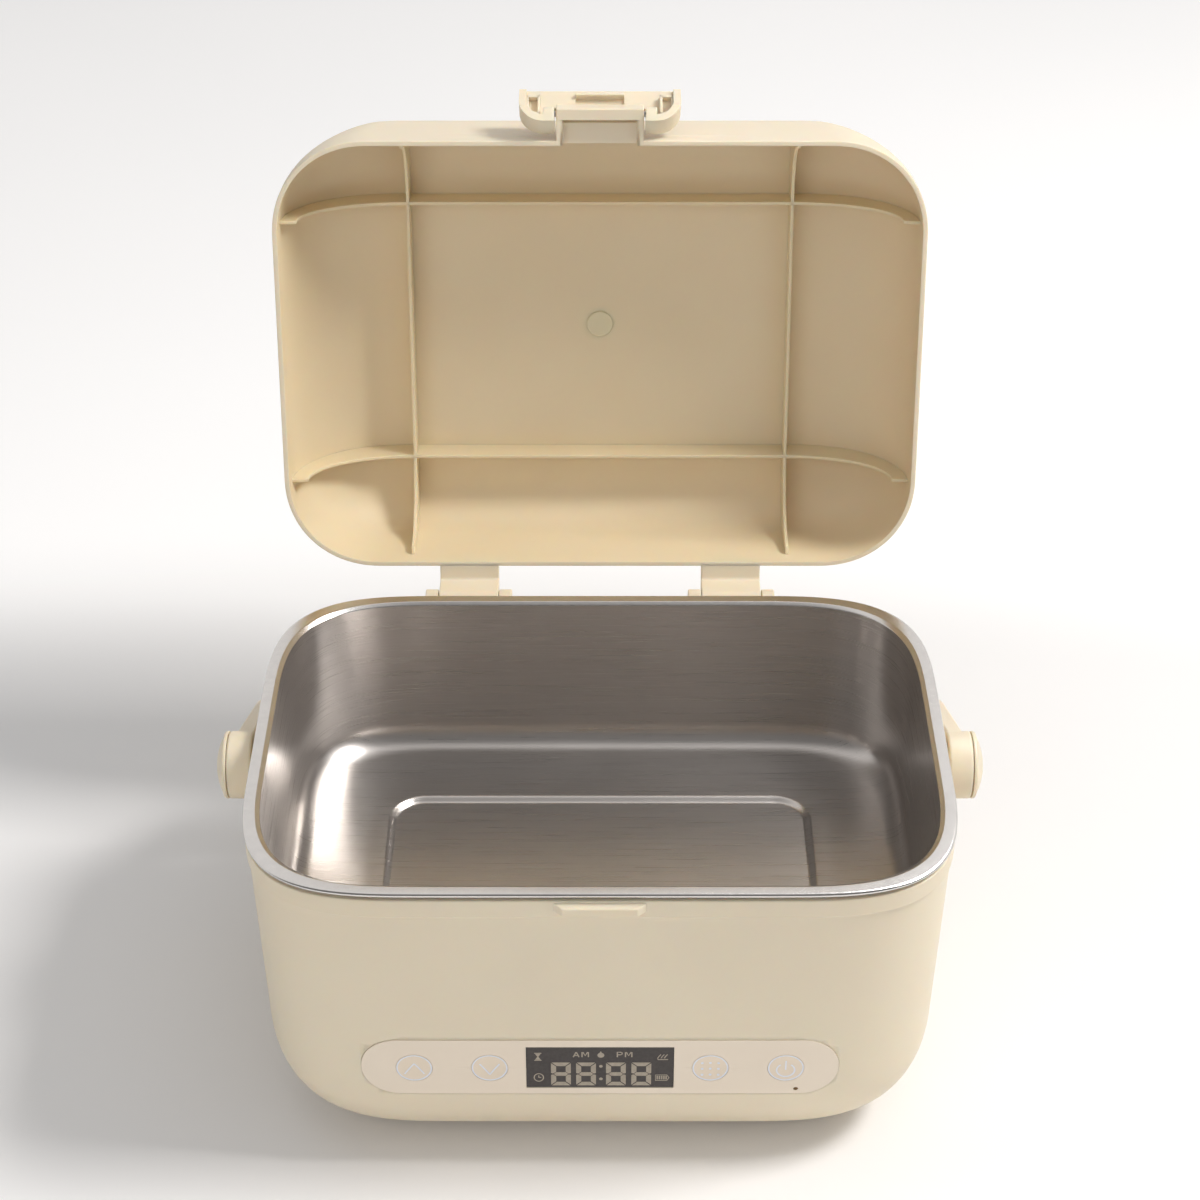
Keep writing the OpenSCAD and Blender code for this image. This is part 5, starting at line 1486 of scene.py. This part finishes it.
@dataclass
class Studio:
    """Camera, lamps, floor and backdrop."""

    eye: tuple[float, float, float] = (0.0, -0.7397, 0.6776)
    pitch: float = 33.93
    lens: float = 80.97
    sensor: float = 36.0
    lift: float = 0.2
    lift_from: float = 0.24
    lift_to: float = 0.42
    spread: tuple[float, float, float] = (0.45, 1.6, 0)
    spread_shift: tuple[float, float, float] = (0, -0.12, 0)
    surround: float = 0.37
    flag: float = 0.22
    flag_from: float = -0.45
    flag_to: float = 0.1

    def camera(self) -> None:
        """Place the camera at the photograph's viewpoint."""
        data = bpy.data.cameras.new("camera")
        data.lens, data.sensor_width = self.lens, self.sensor
        data.clip_start, data.clip_end = 0.02, 20.0
        holder = add_object("camera", data)
        holder.location = self.eye
        holder.rotation_euler = (math.radians(90 - self.pitch), 0, 0)
        bpy.context.scene.camera = holder

    def lamp(self, name: str, place: Sequence[float], aim: Sequence[float], size: tuple[float, float],
             power: float, colour: Sequence[float] = (1, 1, 1), mirrored: bool = True,
             spreads: bool = True) -> None:
        """Add an area lamp that looks at a point.

        Args:
            name: The lamp's name.
            place: Where it hangs.
            aim: What it points at.
            size: Width and height.
            power: Watts.
            colour: Its light's colour.
            mirrored: Whether glossy surfaces show it.
            spreads: Whether it lights matt surfaces.
        """
        data = bpy.data.lights.new(name, "AREA")
        data.shape, data.size, data.size_y = "RECTANGLE", size[0], size[1]
        data.energy, data.color = power, colour
        holder = add_object(name, data)
        holder.location = place
        holder.visible_glossy, holder.visible_diffuse = mirrored, spreads
        holder.rotation_euler = (Vector(aim) - Vector(place)).to_track_quat("-Z", "Y").to_euler()

    def lamps(self) -> None:
        """Add a soft key, a top and a front fill, and a reflector that only metal and gloss show."""
        self.lamp("key", (1.0, -0.06, 1.4), (0, 0.02, 0.12), (0.42, 0.42), 19.5, (1.0, 0.985, 0.965))
        self.lamp("top", (0.1, 0.1, 1.7), (0, 0, 0.1), (1.6, 1.6), 4.2, (1, 1, 1), False)
        self.lamp("reflector", (0.68, 0.5, 1.25), (0.68, 0.5, 0.0), (0.7, 0.9), 22.0, (1, 1, 1), True, False)
        self.lamp("fill", (-0.6, -1.6, 0.9), (0, 0, 0.1), (1.4, 1.4), 6.6, (0.97, 0.985, 1.0), False)

    def world(self) -> None:
        """Set a pale even surround, white where the camera or a mirror sees it."""
        world = bpy.data.worlds.new("surround")
        bpy.context.scene.world = world
        world.use_nodes = True
        nodes, links = world.node_tree.nodes, world.node_tree.links
        path = nodes.new("ShaderNodeLightPath")
        seen = backdrop_rays(world.node_tree)
        soft, plain = nodes["Background"], nodes.new("ShaderNodeBackground")
        soft.inputs["Color"].default_value = (0.98, 0.99, 1.0, 1)
        soft.inputs["Strength"].default_value = self.surround
        plain.inputs["Color"].default_value = srgb(248, 246, 245)
        split = nodes.new("ShaderNodeSeparateXYZ")
        flag = nodes.new("ShaderNodeMapRange")
        shown = nodes.new("ShaderNodeMath")
        links.new(nodes.new("ShaderNodeTexCoord").outputs["Generated"], split.inputs["Vector"])
        flag.interpolation_type = "SMOOTHSTEP"
        flag.inputs["From Min"].default_value = self.flag_from
        flag.inputs["From Max"].default_value = self.flag_to
        flag.inputs["To Min"].default_value = self.flag
        links.new(split.outputs["Y"], flag.inputs["Value"])
        shown.operation = "MAXIMUM"
        links.new(flag.outputs["Result"], shown.inputs[0])
        links.new(path.outputs["Is Camera Ray"], shown.inputs[1])
        links.new(shown.outputs[0], plain.inputs["Strength"])
        mix = nodes.new("ShaderNodeMixShader")
        links.new(seen, mix.inputs["Fac"])
        links.new(soft.outputs[0], mix.inputs[1])
        links.new(plain.outputs[0], mix.inputs[2])
        links.new(mix.outputs[0], nodes["World Output"].inputs["Surface"])

    def floor(self) -> None:
        """Build a wide pale floor that keeps the object's shadow."""
        bm = bmesh.new()
        bmesh.ops.create_grid(bm, x_segments=8, y_segments=8, size=6.0)
        mesh = bpy.data.meshes.new("floor")
        bm.to_mesh(mesh)
        bm.free()
        kit = NodeKit("floor_paint")
        cloud = kit.noise(1.4, 2.0)
        kit.link(kit.ramp(cloud, srgb(240, 238, 237), srgb(243, 241, 240)), kit.shader.inputs["Base Color"])
        kit.shader.inputs["Roughness"].default_value = 0.9
        kit.shader.inputs["Specular IOR Level"].default_value = 0.1
        kit.shader.inputs["Emission Color"].default_value = (1.0, 0.99, 0.98, 1)
        away = kit.tree.nodes.new("ShaderNodeVectorMath")
        away.operation = "LENGTH"
        kit.link(kit.scaled(self.spread, self.spread_shift), away.inputs[0])
        far = kit.tree.nodes.new("ShaderNodeMapRange")
        far.interpolation_type = "SMOOTHSTEP"
        far.inputs["From Min"].default_value = self.lift_from
        far.inputs["From Max"].default_value = self.lift_to
        far.inputs["To Max"].default_value = self.lift
        kit.link(away.outputs["Value"], far.inputs["Value"])
        lift = kit.tree.nodes.new("ShaderNodeMath")
        lift.operation = "MULTIPLY"
        kit.link(far.outputs["Result"], lift.inputs[0])
        kit.link(backdrop_rays(kit.tree), lift.inputs[1])
        kit.link(lift.outputs[0], kit.shader.inputs["Emission Strength"])
        mesh.materials.append(kit.material)
        add_object("floor", mesh)


# ---------------------------------------------------------------- assembly


NODE_FINISH: dict[str, Finish] = {
    "bottom_cover": Finish.SHELL, "rubber_feet": Finish.RUBBER, "cover_screws": Finish.BRIGHT,
    "inner_well": Finish.ALUMINIUM, "heating_plate": Finish.ALUMINIUM, "heating_element": Finish.ELEMENT,
    "element_clamps": Finish.BRIGHT, "heat_shield": Finish.ALUMINIUM, "shield_standoffs": Finish.BRIGHT,
    "insulation_pad": Finish.FELT, "temperature_sensor": Finish.BRIGHT, "thermal_fuse": Finish.CERAMIC,
    "battery_tray": Finish.BLACK, "battery_cells": Finish.SLEEVE, "cell_straps": Finish.NICKEL,
    "battery_board": Finish.BOARD, "main_board": Finish.BOARD, "power_components": Finish.BLACK,
    "sounder": Finish.BLACK, "heater_leads": Finish.LEAD, "display_board": Finish.BOARD,
    "display_module": Finish.BLACK, "panel_switches": Finish.BLACK, "charging_socket": Finish.BLACK,
    "socket_nut": Finish.BRIGHT, "hinge_pins": Finish.PIN, "pivot_studs": Finish.PIN, "latch_pin": Finish.PIN,
    "outer_shell": Finish.SHELL, "control_panel": Finish.PANEL, "display_window": Finish.WINDOW,
    "button_up": Finish.KEY, "button_down": Finish.KEY, "button_menu": Finish.KEY, "button_power": Finish.KEY,
    "lid_shell": Finish.SHELL, "hinge_arms": Finish.SHELL, "latch": Finish.SHELL, "bail_handle": Finish.SHELL,
    "pivot_cap_left": Finish.SHELL, "pivot_cap_right": Finish.SHELL, "food_container": Finish.STEEL,
}


def dress_nodes() -> None:
    """Give every CAD node its finish."""
    for name, node in frame["nodes"].items():
        node.data.materials.clear()
        node.data.materials.append(NODE_FINISH[name].material())
        for face in node.data.polygons:
            face.material_index = 0
        log.info("dressed %s", name)


def fit(piece: bpy.types.Object, body: str, slot: str, *nodes: str) -> None:
    """Make a piece ride on a body and stand for nodes.

    Args:
        piece: The piece.
        body: The body that carries it.
        slot: Not used.
        nodes: The nodes that it stands for.
    """
    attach(piece, body)
    if nodes:
        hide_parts(*nodes)


def main() -> None:
    """Build every sub-assembly in order."""
    logging.basicConfig(level=logging.INFO, format="%(message)s")
    studio = Studio()
    studio.camera()
    studio.lamps()
    studio.world()
    studio.floor()
    dress_nodes()

    body = Body()
    fit(body.shell(), "body", "cream_shell", "outer_shell")
    fit(body.fittings(), "body", "cream_shell")
    cover = refined("bottom_cover", 0.3).finish("bottom_cover_skin", Finish.SHELL)
    fit(cover, "body", "cream_shell", "bottom_cover")
    fit(Container().build(), "container", "brushed_steel", "food_container")
    lid = Lid()
    fit(lid.build(), "lid", "cream_shell", "lid_shell", "hinge_arms")
    fit(Latch().build(lid), "latch", "cream_shell", "latch")
    bail = refined("bail_handle", 1.0, 3, 40).finish("bail_skin", Finish.SHELL)
    fit(bail, "handle", "cream_shell", "bail_handle")
    for side in ("left", "right"):
        cap = f"pivot_cap_{side}"
        skin = refined(cap, 0.2, 2, 50).finish(f"{cap}_skin", Finish.SHELL, 50)
        fit(skin, "handle", "cream_shell", cap)

    panel = ControlPanel()
    fit(panel.plate(), "body", "panel_cream", "control_panel")
    fit(panel.sound_hole(), "body", "dark_rubber")
    fit(panel.glass(), "body", "smoked_window", "display_window")
    fit(panel.display(), "body", "smoked_window")
    for name in panel.keys:
        fit(panel.key_cap(name), name, "panel_cream", name)
        fit(panel.signs(name), name, "panel_cream")

    bpy.context.scene.view_settings.view_transform = "Standard"


if __name__ == "__main__":
    main()
